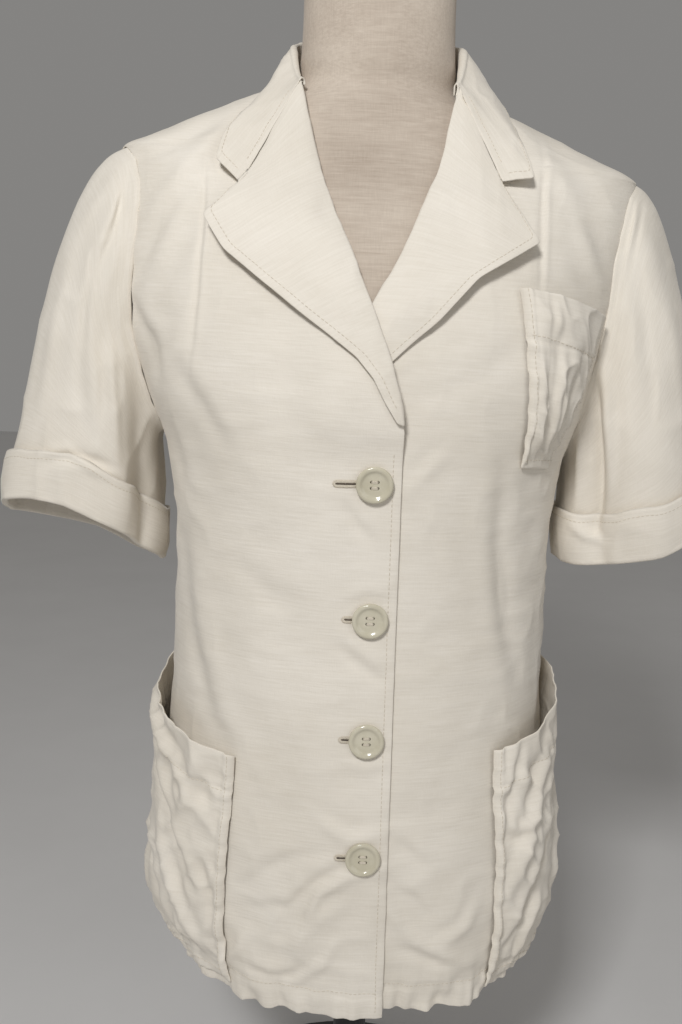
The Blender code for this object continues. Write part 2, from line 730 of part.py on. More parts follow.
def collar_grid() -> np.ndarray:
    """Points of the collar, from the wearer's right gorge round the back to the left one."""
    right = [collar_profile(-1, station) for station in COLLAR_RIGHT]
    left = [collar_profile(1, station) for station in COLLAR_LEFT]
    stations = np.array(right + [collar_profile(1, COLLAR_BACK)] + left[::-1])
    count = len(stations)
    places = [0, 1] + [1 + k * 0.5 for k in range(1, 2 * (count - 3))] + [count - 2, count - 1]
    curves = [
        [Curve(range(count), stations[:, j, axis]) for axis in range(3)] for j in range(stations.shape[1])
    ]
    return np.array([[[curve(place) for curve in axes] for axes in curves] for place in places])


def lapel_grid(side: int, gorge: np.ndarray) -> np.ndarray:
    """Points of a lapel, from the break up to the gorge, across from roll line to edge."""
    table = RIGHT_LAPEL if side < 0 else LEFT_LAPEL
    roll_table = RIGHT_ROLL if side < 0 else LEFT_ROLL
    roll = Curve([point.z for point in roll_table], [point.x for point in roll_table])
    rows = []
    for i, entry in enumerate(table):
        roll_x = roll(entry.roll_z) + side * ROLL_CLEARANCE
        blend = ease((i - (len(table) - 4)) / 3.0)
        width = abs(entry.edge_x - roll_x)
        row = []
        for k in range(FALL_STEPS + 1):
            t = k / FALL_STEPS
            x = roll_x + (entry.edge_x - roll_x) * t
            z = entry.roll_z + (entry.edge_z - entry.roll_z) * t
            lift = SAFE_GAP + LAPEL_WALL + entry.edge_lift * t**2
            lift += LAPEL_SWELL * width * math.sin(math.pi * t**0.7)
            lift += overlap_lift(x, z) if side < 0 else 0.0
            own = np.array(front_point(x, z, lift))
            row.append(own * (1.0 - blend) + gorge[k] * blend)
        rows.append(row if side > 0 else row[::-1])
    return np.array(rows)


def gorge_row(collar: np.ndarray, side: int) -> np.ndarray:
    """Edge that a lapel shares with the collar, moved off it by the seam gap."""
    end, beside = (0, 1) if side < 0 else (-1, -2)
    row = collar[end][-FALL_STEPS - 1:]
    away = row - collar[beside][-FALL_STEPS - 1:]
    away /= np.linalg.norm(away, axis=1, keepdims=True)
    return row + away * GORGE_GAP


# Sleeves and cuffs

def sleeve_turns() -> list[float]:
    """Turns of the sleeve's columns: each meets the end of one row of the body panels."""
    span = SHOULDER_Z - UNDERARM_Z
    heights = [z for z in panel_rows() if UNDERARM_Z - 1e-6 <= z <= SHOULDER_Z + 1e-6]
    cosines = [min(max(2.0 * (z - UNDERARM_Z) / span - 1.0, -1.0), 1.0) for z in heights]
    front = [math.degrees(math.acos(cosine)) for cosine in reversed(cosines)]
    return front + [360.0 - turn for turn in reversed(front[1:-1])]


def armhole_point(side: int, turn: float) -> Vector:
    """Point of the armhole at a turn round the sleeve: 0 at the top, 90 at the front."""
    height = 0.5 + 0.5 * math.cos(math.radians(turn))
    z = UNDERARM_Z + (SHOULDER_Z - UNDERARM_Z) * height
    seam = armhole_turn(side, z, turn <= 180.0)
    gap = math.degrees(ARMHOLE_GAP / TORSO.radius(z))
    body_turn = seam + gap if turn <= 180.0 else seam - gap
    z = min(max(z, UNDERARM_Z + ARMHOLE_GAP * 2.0), SHOULDER_Z - ARMHOLE_GAP * 2.0)
    return TORSO.point(side * body_turn, z, -ARMHOLE_TUCK, False)


def hem_point(ring: SleeveRing, turn: float) -> Vector:
    """Point of the sleeve's hem ring at a turn, on a smooth loop through its quarter points."""
    corners = [Vector(corner) for corner in ring]
    centre = (corners[0] + corners[1] + corners[2] + corners[3]) / 4.0
    quarter, rest = divmod(turn % 360.0, 90.0)
    start = corners[int(quarter) % 4] - centre
    end = corners[(int(quarter) + 1) % 4] - centre
    a = math.radians(rest)
    power = 2.0 / HEM_RING_SQUARE
    return centre + start * math.cos(a) ** power + end * math.sin(a) ** power


def sleeve_start_pull(side: int, turn: float) -> Vector:
    """Direction and speed with which the sleeve leaves the armhole."""
    top = 0.5 + 0.5 * math.cos(math.radians(turn))
    forward = -math.sin(math.radians(turn))
    spread = RIGHT_CAP_SPREAD if side < 0 else LEFT_CAP_SPREAD
    outward = side * (CAP_OUTWARD + spread * top)
    return Vector((outward, CAP_FORWARD * forward, -CAP_DROP - CAP_TOP_DROP * top))


def sleeve_point(side: int, turn: float, along: float) -> Vector:
    """Point of the sleeve's outer face, from the armhole at 0 to the hem at 1."""
    ring = RIGHT_HEM_RING if side < 0 else LEFT_HEM_RING
    folds = RIGHT_SLEEVE_FOLDS if side < 0 else LEFT_SLEEVE_FOLDS
    start = armhole_point(side, turn)
    end = hem_point(ring, turn)
    length = (end - start).length
    pull = sleeve_start_pull(side, turn) * min(1.0, length / 0.16)
    push = Vector((side * SLEEVE_FLARE, 0.0, -1.0)) * (SLEEVE_PULL * length)
    t = along
    point = (
        start * (2 * t**3 - 3 * t**2 + 1)
        + pull * (t**3 - 2 * t**2 + t)
        + end * (3 * t**2 - 2 * t**3)
        + push * (t**3 - t**2)
    )
    centre = (Vector(ring.outer) + Vector(ring.inner)) / 2.0
    out = Vector((point.x - centre.x, point.y - centre.y, 0.0)).normalized()
    height = 0.0
    for fold in folds:
        across = (turn - fold.turn + 180.0) % 360.0 - 180.0
        reach = (along - fold.along) / fold.length
        height += fold.height * math.exp(-((across / fold.width) ** 2) - reach**2)
    return point + out * height * ease(along / 0.3)


def sleeve_grid(side: int) -> np.ndarray:
    """Points of a sleeve, in rings from the hem up to the armhole."""
    rows = []
    for i in range(SLEEVE_ROWS, -1, -1):
        along = (i / SLEEVE_ROWS) ** 1.1
        ring = [sleeve_point(side, turn, along) for turn in sleeve_turns()]
        rows.append(ring[::-1] if side > 0 else ring)
    return np.array(rows)


def cuff_solid(side: int) -> bmesh.types.BMesh:
    """Turned-up cuff: a band round the sleeve's hem with a foot folded under the edge."""
    ends = []
    for turn in sleeve_turns():
        low = sleeve_point(side, turn, 1.0)
        speed = (low - sleeve_point(side, turn, 0.9)).length / 0.1
        high = sleeve_point(side, turn, 1.0 - CUFF_DEPTH / speed)
        down = (low - high).normalized()
        beside = sleeve_point(side, turn + 4.0, 1.0) - sleeve_point(side, turn - 4.0, 1.0)
        out = beside.cross(down).normalized() * side
        ends.append((low, high, down, out))
    mesh = bmesh.new()
    rings = []
    for low, high, down, out in ends:
        near = CUFF_CLEARANCE
        far = near + CUFF_WALL
        foot = WALL + SAFE_GAP
        rings.append([
            mesh.verts.new(high + out * (near + CUFF_STANDOFF)),
            mesh.verts.new(high + out * (far + CUFF_STANDOFF)),
            mesh.verts.new(low + out * far - down * CUFF_FOLD),
            mesh.verts.new(low + out * far + down * SAFE_GAP),
            mesh.verts.new(low + out * (far - CUFF_ROUND) + down * (SAFE_GAP + CUFF_WALL)),
            mesh.verts.new(low - out * foot + down * (SAFE_GAP + CUFF_WALL)),
            mesh.verts.new(low - out * foot + down * SAFE_GAP),
            mesh.verts.new(low + out * near + down * SAFE_GAP),
            mesh.verts.new(low + out * near - down * CUFF_FOLD),
        ])
    corners = len(rings[0])
    for j, ring in enumerate(rings):
        after = rings[(j + 1) % len(rings)]
        for k in range(corners):
            m = (k + 1) % corners
            mesh.faces.new((ring[k], after[k], after[m], ring[m]))
    return mesh


# Pockets and buttons

def pocket_place(pocket: PatchPocket, across: float, down: float) -> tuple[float, float]:
    """Turn and height of a place on a pocket, from its front edge and down from its mouth."""
    top, low = [
        [front + (back - front) * across for front, back in zip(*corners)]
        for corners in (
            (pocket.front_top, pocket.back_top), (pocket.front_bottom, pocket.back_bottom)
        )
    ]
    return top[0] + (low[0] - top[0]) * down, top[1] + (low[1] - top[1]) * down


def pocket_rise(pocket: PatchPocket, across: float, down: float) -> float:
    """How far a pocket stands off the body: open at its mouth, sewn close at sides and foot."""
    swell = min(1.0, POCKET_SWELL * math.sin(math.pi * across) ** POCKET_SWELL_POWER)
    swell *= 1.0 - POCKET_BACK_CLOSE * ease((across - POCKET_CLOSE_START) / POCKET_CLOSE_SPAN)
    depth = pocket.gape + (pocket.bottom_gape - pocket.gape) * down
    return swell * depth * min(1.0, (1.0 - down) * POCKET_FOOT_SHARE)


def pocket_grid(pocket: PatchPocket) -> np.ndarray:
    """Points of a patch pocket, in rows from its mouth down to its foot."""
    rows = []
    for i in range(pocket.rows):
        down = 1.0 - i / (pocket.rows - 1)
        row = []
        for j in range(pocket.columns):
            across = j / (pocket.columns - 1)
            turn, z = pocket_place(pocket, across, down)
            row.append(TORSO.point(turn, z, POCKET_GAP + WALL + pocket_rise(pocket, across, down)))
        rows.append(row if pocket.back_top[0] > 0 else row[::-1])
    return np.array(rows)


def button_solid(z: float, name: str) -> bpy.types.Object:
    """Four-hole button with a raised rim, lying on the right front."""
    half = BUTTON_THICKNESS / 2.0
    profile = [
        (BUTTON_RADIUS * 0.78, -half),
        (BUTTON_RADIUS, -half * 0.2),
        (BUTTON_RADIUS, half * 0.4),
        (BUTTON_RADIUS * 0.90, half),
        (BUTTON_RADIUS * 0.76, half * 0.9),
        (BUTTON_RADIUS * 0.58, half * 0.25),
    ]
    level = level_of(BUTTON_X, z)
    turn = TORSO.turn_at(BUTTON_X, level)
    lift = overlap_lift(BUTTON_X, level) + half + SEAM_GAP
    direction = TORSO.normal(turn, level)
    button = add_solid(name, turned_solid(profile, 20), BUTTON)
    cutters = bmesh.new()
    for corner in range(4):
        angle = math.radians(45.0 + 90.0 * corner)
        reach = BUTTON_HOLE_SPACING / math.sqrt(2.0)
        place = Matrix.Translation((reach * math.cos(angle), reach * math.sin(angle), 0.0))
        bmesh.ops.create_cone(cutters, cap_ends=True, segments=6, radius1=BUTTON_HOLE_RADIUS,
                              radius2=BUTTON_HOLE_RADIUS, depth=BUTTON_THICKNESS * 3.0, matrix=place)
    cutter = add_solid(f"{name}_holes", cutters, BUTTON)
    cutter.hide_render = True
    cutter.display_type = "WIRE"
    place = Matrix.Translation(TORSO.point(turn, level, lift))
    for piece in (button, cutter):
        piece.matrix_world = place @ direction.to_track_quat("Z", "Y").to_matrix().to_4x4()
    cut = button.modifiers.new("holes", "BOOLEAN")
    cut.operation = "DIFFERENCE"
    cut.solver = "EXACT"
    cut.object = cutter
    return button


# Dress form and stand

def form_inset(z: float) -> float:
    """How far the dress form lies inside the jacket's outer face."""
    inset = WALL + FORM_CLEARANCE
    for extra in FORM_EXTRAS:
        inset += extra.depth * math.exp(-(((z - extra.z) / extra.spread) ** 2))
    return inset + FORM_HOLLOW * (1.0 - ease((z - FORM_HOLLOW_Z) / FORM_HOLLOW_FADE))


def dress_form() -> bmesh.types.BMesh:
    """Limbless form: one smooth closed body from the hips to the top of the neck."""
    sides = FORM_SIDES
    heights = np.concatenate([
        np.linspace(FORM_BOTTOM_Z, FORM_CLOSE_Z, 5, endpoint=False),
        [z for z in panel_rows() if FORM_CLOSE_Z <= z < NECKLINE_Z],
        np.linspace(NECKLINE_Z, NECK_TOP_Z - NECK_CAP, 5),
    ])
    turns = [360.0 * j / sides for j in range(sides)]
    grid = np.array([[TORSO.bare(turn, float(z)) for turn in turns] for z in heights])
    insets = [form_inset(z) * (1.0 - ease((z - NECKLINE_Z + NECK_CAP) / 0.02)) for z in heights]
    grid -= grid_normals(grid, True) * np.array(insets)[:, None, None]
    grid[0, :, 2] = FORM_BOTTOM_Z
    mesh = bmesh.new()
    rings = [[mesh.verts.new(point) for point in row] for row in grid]
    top = [vert.co.copy() for vert in rings[-1]]
    middle = sum(top, Vector()) / sides
    rings.append([
        mesh.verts.new(middle + (point - middle) * 0.94 + Vector((0.0, 0.0, NECK_CAP))) for point in top
    ])
    for lower, upper in zip(rings, rings[1:]):
        for j in range(sides):
            k = (j + 1) % sides
            mesh.faces.new((lower[j], lower[k], upper[k], upper[j]))
    mesh.faces.new(rings[0])
    mesh.faces.new(rings[-1])
    return mesh


def build_stand() -> None:
    """Round base, pole and the plate under the dress form."""
    base = turned_solid([
        (BASE_RADIUS, 0.0),
        (BASE_RADIUS, BASE_THICKNESS * 0.5),
        (BASE_RADIUS - BASE_CHAMFER, BASE_THICKNESS),
        (POLE_RADIUS * 2.2, BASE_THICKNESS + SOCKET_HEIGHT * 0.5),
        (POLE_RADIUS * 1.6, BASE_THICKNESS + SOCKET_HEIGHT),
    ], 48)
    add_solid("stand_base", base, STEEL)
    pole_bottom = BASE_THICKNESS + SOCKET_HEIGHT + SEAM_GAP
    plate_bottom = FORM_BOTTOM_Z - SEAM_GAP - FORM_PLATE_THICKNESS
    pole = turned_solid([
        (POLE_RADIUS, pole_bottom),
        (POLE_RADIUS, plate_bottom),
        (FORM_PLATE_RADIUS, plate_bottom),
        (FORM_PLATE_RADIUS, FORM_BOTTOM_Z - SEAM_GAP),
    ], 32)
    add_solid("stand_pole", pole, STEEL)


def build_jacket() -> None:
    """Every sewn piece of the jacket, and its buttons."""
    collar = collar_grid()
    panels = {"front_right": front_panel(-1), "front_left": front_panel(1), "back": back_panel()}
    for name, (grid, normals) in panels.items():
        add_solid(name, shell(grid, WALL, normals=normals), LINEN)
    add_solid("collar", shell(collar[:, ::-1], LAPEL_WALL), LINEN)
    for side, name in ((-1, "right"), (1, "left")):
        lapel = lapel_grid(side, gorge_row(collar, side))
        add_solid(f"lapel_{name}", shell(lapel, LAPEL_WALL), LINEN)
        add_solid(f"sleeve_{name}", shell(sleeve_grid(side), WALL, ring=True), LINEN)
        add_solid(f"cuff_{name}", cuff_solid(side), LINEN)
    add_solid("hip_pocket_right", shell(pocket_grid(HIP_POCKET_RIGHT), WALL), LINEN)
    add_solid("hip_pocket_left", shell(pocket_grid(HIP_POCKET_LEFT), WALL), LINEN)
    add_solid("chest_pocket", shell(pocket_grid(CHEST_POCKET), WALL), LINEN)
    for number, z in enumerate(BUTTON_HEIGHTS, start=1):
        button_solid(z, f"button_{number}")


def main() -> None:
    """Clear the scene and build the jacket, the dress form and the stand."""
    for leftover in list(bpy.data.objects):
        bpy.data.objects.remove(leftover, do_unlink=True)
    build_jacket()
    add_solid("dress_form", dress_form(), FORM_LINEN)
    build_stand()


main()
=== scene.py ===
"""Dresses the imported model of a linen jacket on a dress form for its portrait."""

import logging
import math
from dataclasses import dataclass, field
from enum import Enum
from typing import NamedTuple, Sequence

import bmesh
import bpy
import numpy as np
from mathutils import Matrix, Vector


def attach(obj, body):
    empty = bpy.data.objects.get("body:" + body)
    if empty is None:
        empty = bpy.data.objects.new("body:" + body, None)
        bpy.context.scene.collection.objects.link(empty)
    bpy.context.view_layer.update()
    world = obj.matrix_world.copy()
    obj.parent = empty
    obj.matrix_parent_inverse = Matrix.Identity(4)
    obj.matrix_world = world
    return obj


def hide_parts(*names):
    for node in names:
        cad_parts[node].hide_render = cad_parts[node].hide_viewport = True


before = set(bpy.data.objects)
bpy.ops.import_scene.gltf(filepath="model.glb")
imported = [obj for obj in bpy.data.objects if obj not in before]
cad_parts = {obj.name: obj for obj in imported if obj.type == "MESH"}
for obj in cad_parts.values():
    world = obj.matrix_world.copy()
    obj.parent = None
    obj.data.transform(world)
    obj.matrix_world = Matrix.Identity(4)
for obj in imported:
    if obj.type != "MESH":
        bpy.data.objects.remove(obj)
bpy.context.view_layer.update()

LOG = logging.getLogger("jacket")
BODY = "root"

# Cloth and heights, as in the part's source
WALL = 0.0015
LAPEL_WALL = 0.0018
SEAM_GAP = 0.0003
SAFE_GAP = 0.0006
POCKET_GAP = 0.0009
HEM_Z = 0.214
HEM_RISE = 0.012
HEM_FADE = 0.12
LEFT_FRONT_SHORTER = 0.006
LEFT_FRONT_SHORT_WIDTH = 0.120
UNDERARM_Z = 0.630
SHOULDER_Z = 0.836
GORGE_Z = 0.881
NECKLINE_Z = 0.893
BREAK_Z = 0.650
LEAN = 0.045
LEAN_START_Z = 0.45
LEAN_FULL_Z = 0.75
ARMHOLE_FRONT = 0.047
ARMHOLE_BACK = 0.046
ARMHOLE_OVAL = (2.6, 2.2)
ARMHOLE_GAP = 0.0005
RIGHT_SHOULDER_TURN = 80.0
LEFT_SHOULDER_TURN = 86.0
FRONT_EDGE_X = 0.0205
UNDER_EDGE_X = -0.018
OVERLAP_LIFT = 0.0024
CROSSING_LIFT = 0.0075
OVERLAP_START_X = -0.060
OVERLAP_FULL_X = -0.022
CROSSING_START_Z = 0.625
CROSSING_RISE = 0.035
OVERLAP_FADE_Z = 0.735
OVERLAP_FADE = 0.060
BUTTON_X = 0.003
BUTTON_HEIGHTS = (0.614, 0.518, 0.430, 0.342)
NECK_AXIS_Y = 0.018
COLLAR_FOLD_RADIUS = 0.0028
COLLAR_BULGE = 0.0008
STAND_CLEARANCE = 0.0026
CUFF_DEPTH = 0.036
FORM_BOTTOM_Z = 0.262
NECK_TOP_Z = 0.990

# How thick the worn cloth is drawn, how far seams lie in from edges, and the sizes of stitches
CLOTH_WALL = WALL * 0.8
DRAWN_LAPEL_WALL = 0.0012
DRAWN_COLLAR_WALL = 0.0013
HEM_SEAM = 0.0200
EDGE_SEAM = 0.0055
COLLAR_END_SEAM = 0.0045
CUFF_SEAM = 0.0065
POCKET_SEAM = 0.0060
STITCH_PITCH = 0.0034
STITCH_LENGTH = 0.0027
STITCH_WIDTH = 0.00062

# How strongly the creases stand, and how deep the relief may sink
FRONT_CREASE_GAIN = 1.3
BACK_CREASE_GAIN = 1.2
SLEEVE_CREASE_GAIN = 1.5
POCKET_CREASE_GAIN = 1.25
RELIEF_FLOOR = -0.0026

# Metres of cloth in one degree of turn, around the body and around a sleeve
BODY_DEGREE = 0.0023
SLEEVE_DEGREE = 0.0011

# Level rings of the body: height, half widths right and left, depths front and back, squareness
SECTIONS = np.array([
    (0.215, 0.152, 0.150, 0.122, 0.130, 2.12),
    (0.240, 0.158, 0.156, 0.124, 0.134, 2.12),
    (0.270, 0.162, 0.158, 0.125, 0.136, 2.16),
    (0.330, 0.159, 0.154, 0.125, 0.132, 2.20),
    (0.380, 0.155, 0.148, 0.123, 0.124, 2.20),
    (0.450, 0.151, 0.144, 0.122, 0.110, 2.20),
    (0.500, 0.150, 0.145, 0.121, 0.102, 2.20),
    (0.560, 0.149, 0.145, 0.124, 0.100, 2.20),
    (0.620, 0.156, 0.149, 0.130, 0.104, 2.20),
    (0.670, 0.175, 0.164, 0.133, 0.109, 2.20),
    (0.720, 0.189, 0.178, 0.128, 0.114, 2.20),
    (0.780, 0.193, 0.190, 0.108, 0.114, 2.20),
    (0.815, 0.194, 0.198, 0.086, 0.107, 2.20),
    (0.836, 0.189, 0.198, 0.073, 0.098, 2.20),
    (0.852, 0.158, 0.163, 0.063, 0.090, 2.20),
    (0.877, 0.098, 0.099, 0.052, 0.080, 2.15),
    (0.893, 0.062, 0.062, 0.044, 0.076, 2.05),
    (0.915, 0.0570, 0.0570, 0.041, 0.072, 2.00),
    (0.950, 0.0560, 0.0560, 0.041, 0.069, 2.00),
    (0.995, 0.0560, 0.0560, 0.043, 0.067, 2.00),
])

# Roll lines: height and place across the front
RIGHT_ROLL = np.array([(0.650, 0.0205), (0.690, 0.0120), (0.725, -0.0010), (0.774, -0.0210),
                       (0.812, -0.0360), (0.851, -0.0480), (0.881, -0.0545)])
LEFT_ROLL = np.array([(0.650, -0.0180), (0.690, -0.0120), (0.725, -0.0050), (0.755, 0.0120),
                      (0.785, 0.0260), (0.828, 0.0430), (0.861, 0.0510), (0.881, 0.0560)])

# Lapels, row by row up the roll line: roll height, then the edge's place, height and lift
RIGHT_LAPEL = np.array([
    (0.655, 0.0160, 0.656, 0.0006), (0.668, 0.0080, 0.669, 0.0010), (0.684, 0.0000, 0.684, 0.0015),
    (0.702, -0.0110, 0.697, 0.0020), (0.722, -0.0280, 0.710, 0.0030), (0.748, -0.0520, 0.728, 0.0045),
    (0.778, -0.0760, 0.746, 0.0060), (0.806, -0.0990, 0.764, 0.0080), (0.830, -0.1120, 0.785, 0.0100),
    (0.854, -0.1000, 0.798, 0.0070), (0.881, -0.0900, 0.808, 0.0045),
])
LEFT_LAPEL = np.array([
    (0.662, -0.0120, 0.662, 0.0004), (0.676, -0.0040, 0.674, 0.0004), (0.690, 0.0060, 0.690, 0.0006),
    (0.706, 0.0230, 0.706, 0.0020), (0.726, 0.0420, 0.723, 0.0040), (0.754, 0.0650, 0.748, 0.0060),
    (0.786, 0.0870, 0.761, 0.0075), (0.818, 0.1060, 0.773, 0.0080), (0.848, 0.0910, 0.795, 0.0060),
    (0.881, 0.0800, 0.815, 0.0045),
])

# Collar stations from the right gorge round the back to the left one:
# fold turn, height and radius, then the edge's turn, height and lift
COLLAR = np.array([
    (-43, 0.8905, 0.0795, -25.8, 0.8045, 0.0045), (-48, 0.8940, 0.0765, -32.0, 0.8200, 0.0070),
    (-58, 0.9040, 0.0705, -32.5, 0.8400, 0.0055), (-82, 0.9250, 0.0640, -74.0, 0.8830, 0.0020),
    (-115, 0.9350, 0.0630, -113.0, 0.8820, 0.0025), (-148, 0.9370, 0.0630, -147.0, 0.8810, 0.0030),
    (-180, 0.9375, 0.0632, -180.0, 0.8800, 0.0030), (-212, 0.9370, 0.0630, -213.0, 0.8810, 0.0030),
    (-245, 0.9350, 0.0630, -247.0, 0.8810, 0.0025), (-278, 0.9250, 0.0640, -287.0, 0.8780, 0.0025),
    (-302, 0.9040, 0.0710, -329.5, 0.8440, 0.0055), (-312, 0.8935, 0.0770, -330.4, 0.8200, 0.0090),
    (-317, 0.8895, 0.0800, -337.3, 0.8185, 0.0045),
])


class HemRing(NamedTuple):
    """A sleeve's hem ring by its four quarter points, and how far the head spreads."""

    outer: tuple[float, float, float]
    front: tuple[float, float, float]
    inner: tuple[float, float, float]
    back: tuple[float, float, float]
    spread: float


RIGHT_HEM_RING = HemRing((-0.284, 0.004, 0.569), (-0.226, -0.052, 0.583), (-0.168, 0.018, 0.529),
                         (-0.228, 0.056, 0.548), spread=0.100)
LEFT_HEM_RING = HemRing((0.268, 0.004, 0.584), (0.222, -0.052, 0.556), (0.158, 0.006, 0.542),
                        (0.222, 0.056, 0.552), spread=0.048)

# Soft folds down the sleeves: turn, place along, width, length and height
RIGHT_SLEEVE_FOLDS = ((148, 0.72, 16, 0.36, -0.012), (118, 0.62, 20, 0.45, 0.006),
                       (62, 0.70, 26, 0.40, -0.005),
                      (235, 0.66, 22, 0.40, -0.006), (300, 0.55, 24, 0.40, 0.004))
LEFT_SLEEVE_FOLDS = ((130, 0.66, 18, 0.36, -0.009), (100, 0.60, 22, 0.42, 0.005),
                      (150, 0.74, 12, 0.30, 0.003),
                     (232, 0.60, 24, 0.40, -0.006), (296, 0.62, 22, 0.42, 0.004))

# Soft folds on the body: turn, height, width, length, slant and height of the fold
BODY_FOLDS = ((-78, 0.230, 9, 0.090, 40, 0.005), (-112, 0.235, 10, 0.110, -20, 0.006),
              (-140, 0.225, 11, 0.120, 10, -0.006), (118, 0.255, 16, 0.120, 4, 0.024),
              (138, 0.230, 10, 0.100, -10, -0.005), (166, 0.225, 12, 0.130, 15, 0.005),
              (-168, 0.230, 11, 0.120, -15, 0.004), (-26, 0.235, 8, 0.080, 60, 0.003),
              (28, 0.230, 8, 0.090, -50, 0.003))


class Side(Enum):
    """A side of the wearer, with its sign along X."""

    RIGHT = -1
    LEFT = 1


class Patch(NamedTuple):
    """A patch pocket's corners as turn and height, and how far it gapes."""

    front_top: tuple[float, float]
    front_bottom: tuple[float, float]
    back_top: tuple[float, float]
    back_bottom: tuple[float, float]
    gape: float
    bottom_gape: float


HIP_POCKET_RIGHT = Patch((-34.0, 0.408), (-36.0, 0.2230), (-103.0, 0.452), (-106.0, 0.2230), 0.0125, 0.0060)
HIP_POCKET_LEFT = Patch((39.0, 0.415), (39.0, 0.2230), (97.0, 0.455), (94.0, 0.2230), 0.0125, 0.0060)
CHEST_POCKET = Patch((28.9, 0.748), (42.5, 0.6270), (63.5, 0.735), (59.5, 0.6240), 0.0098, 0.0045)


class Crease(NamedTuple):
    """A soft ridge or trough along a line on a piece, with a fall beside it."""

    path: tuple[tuple[float, float], ...]
    width: float
    height: float
    lee: float = 0.0


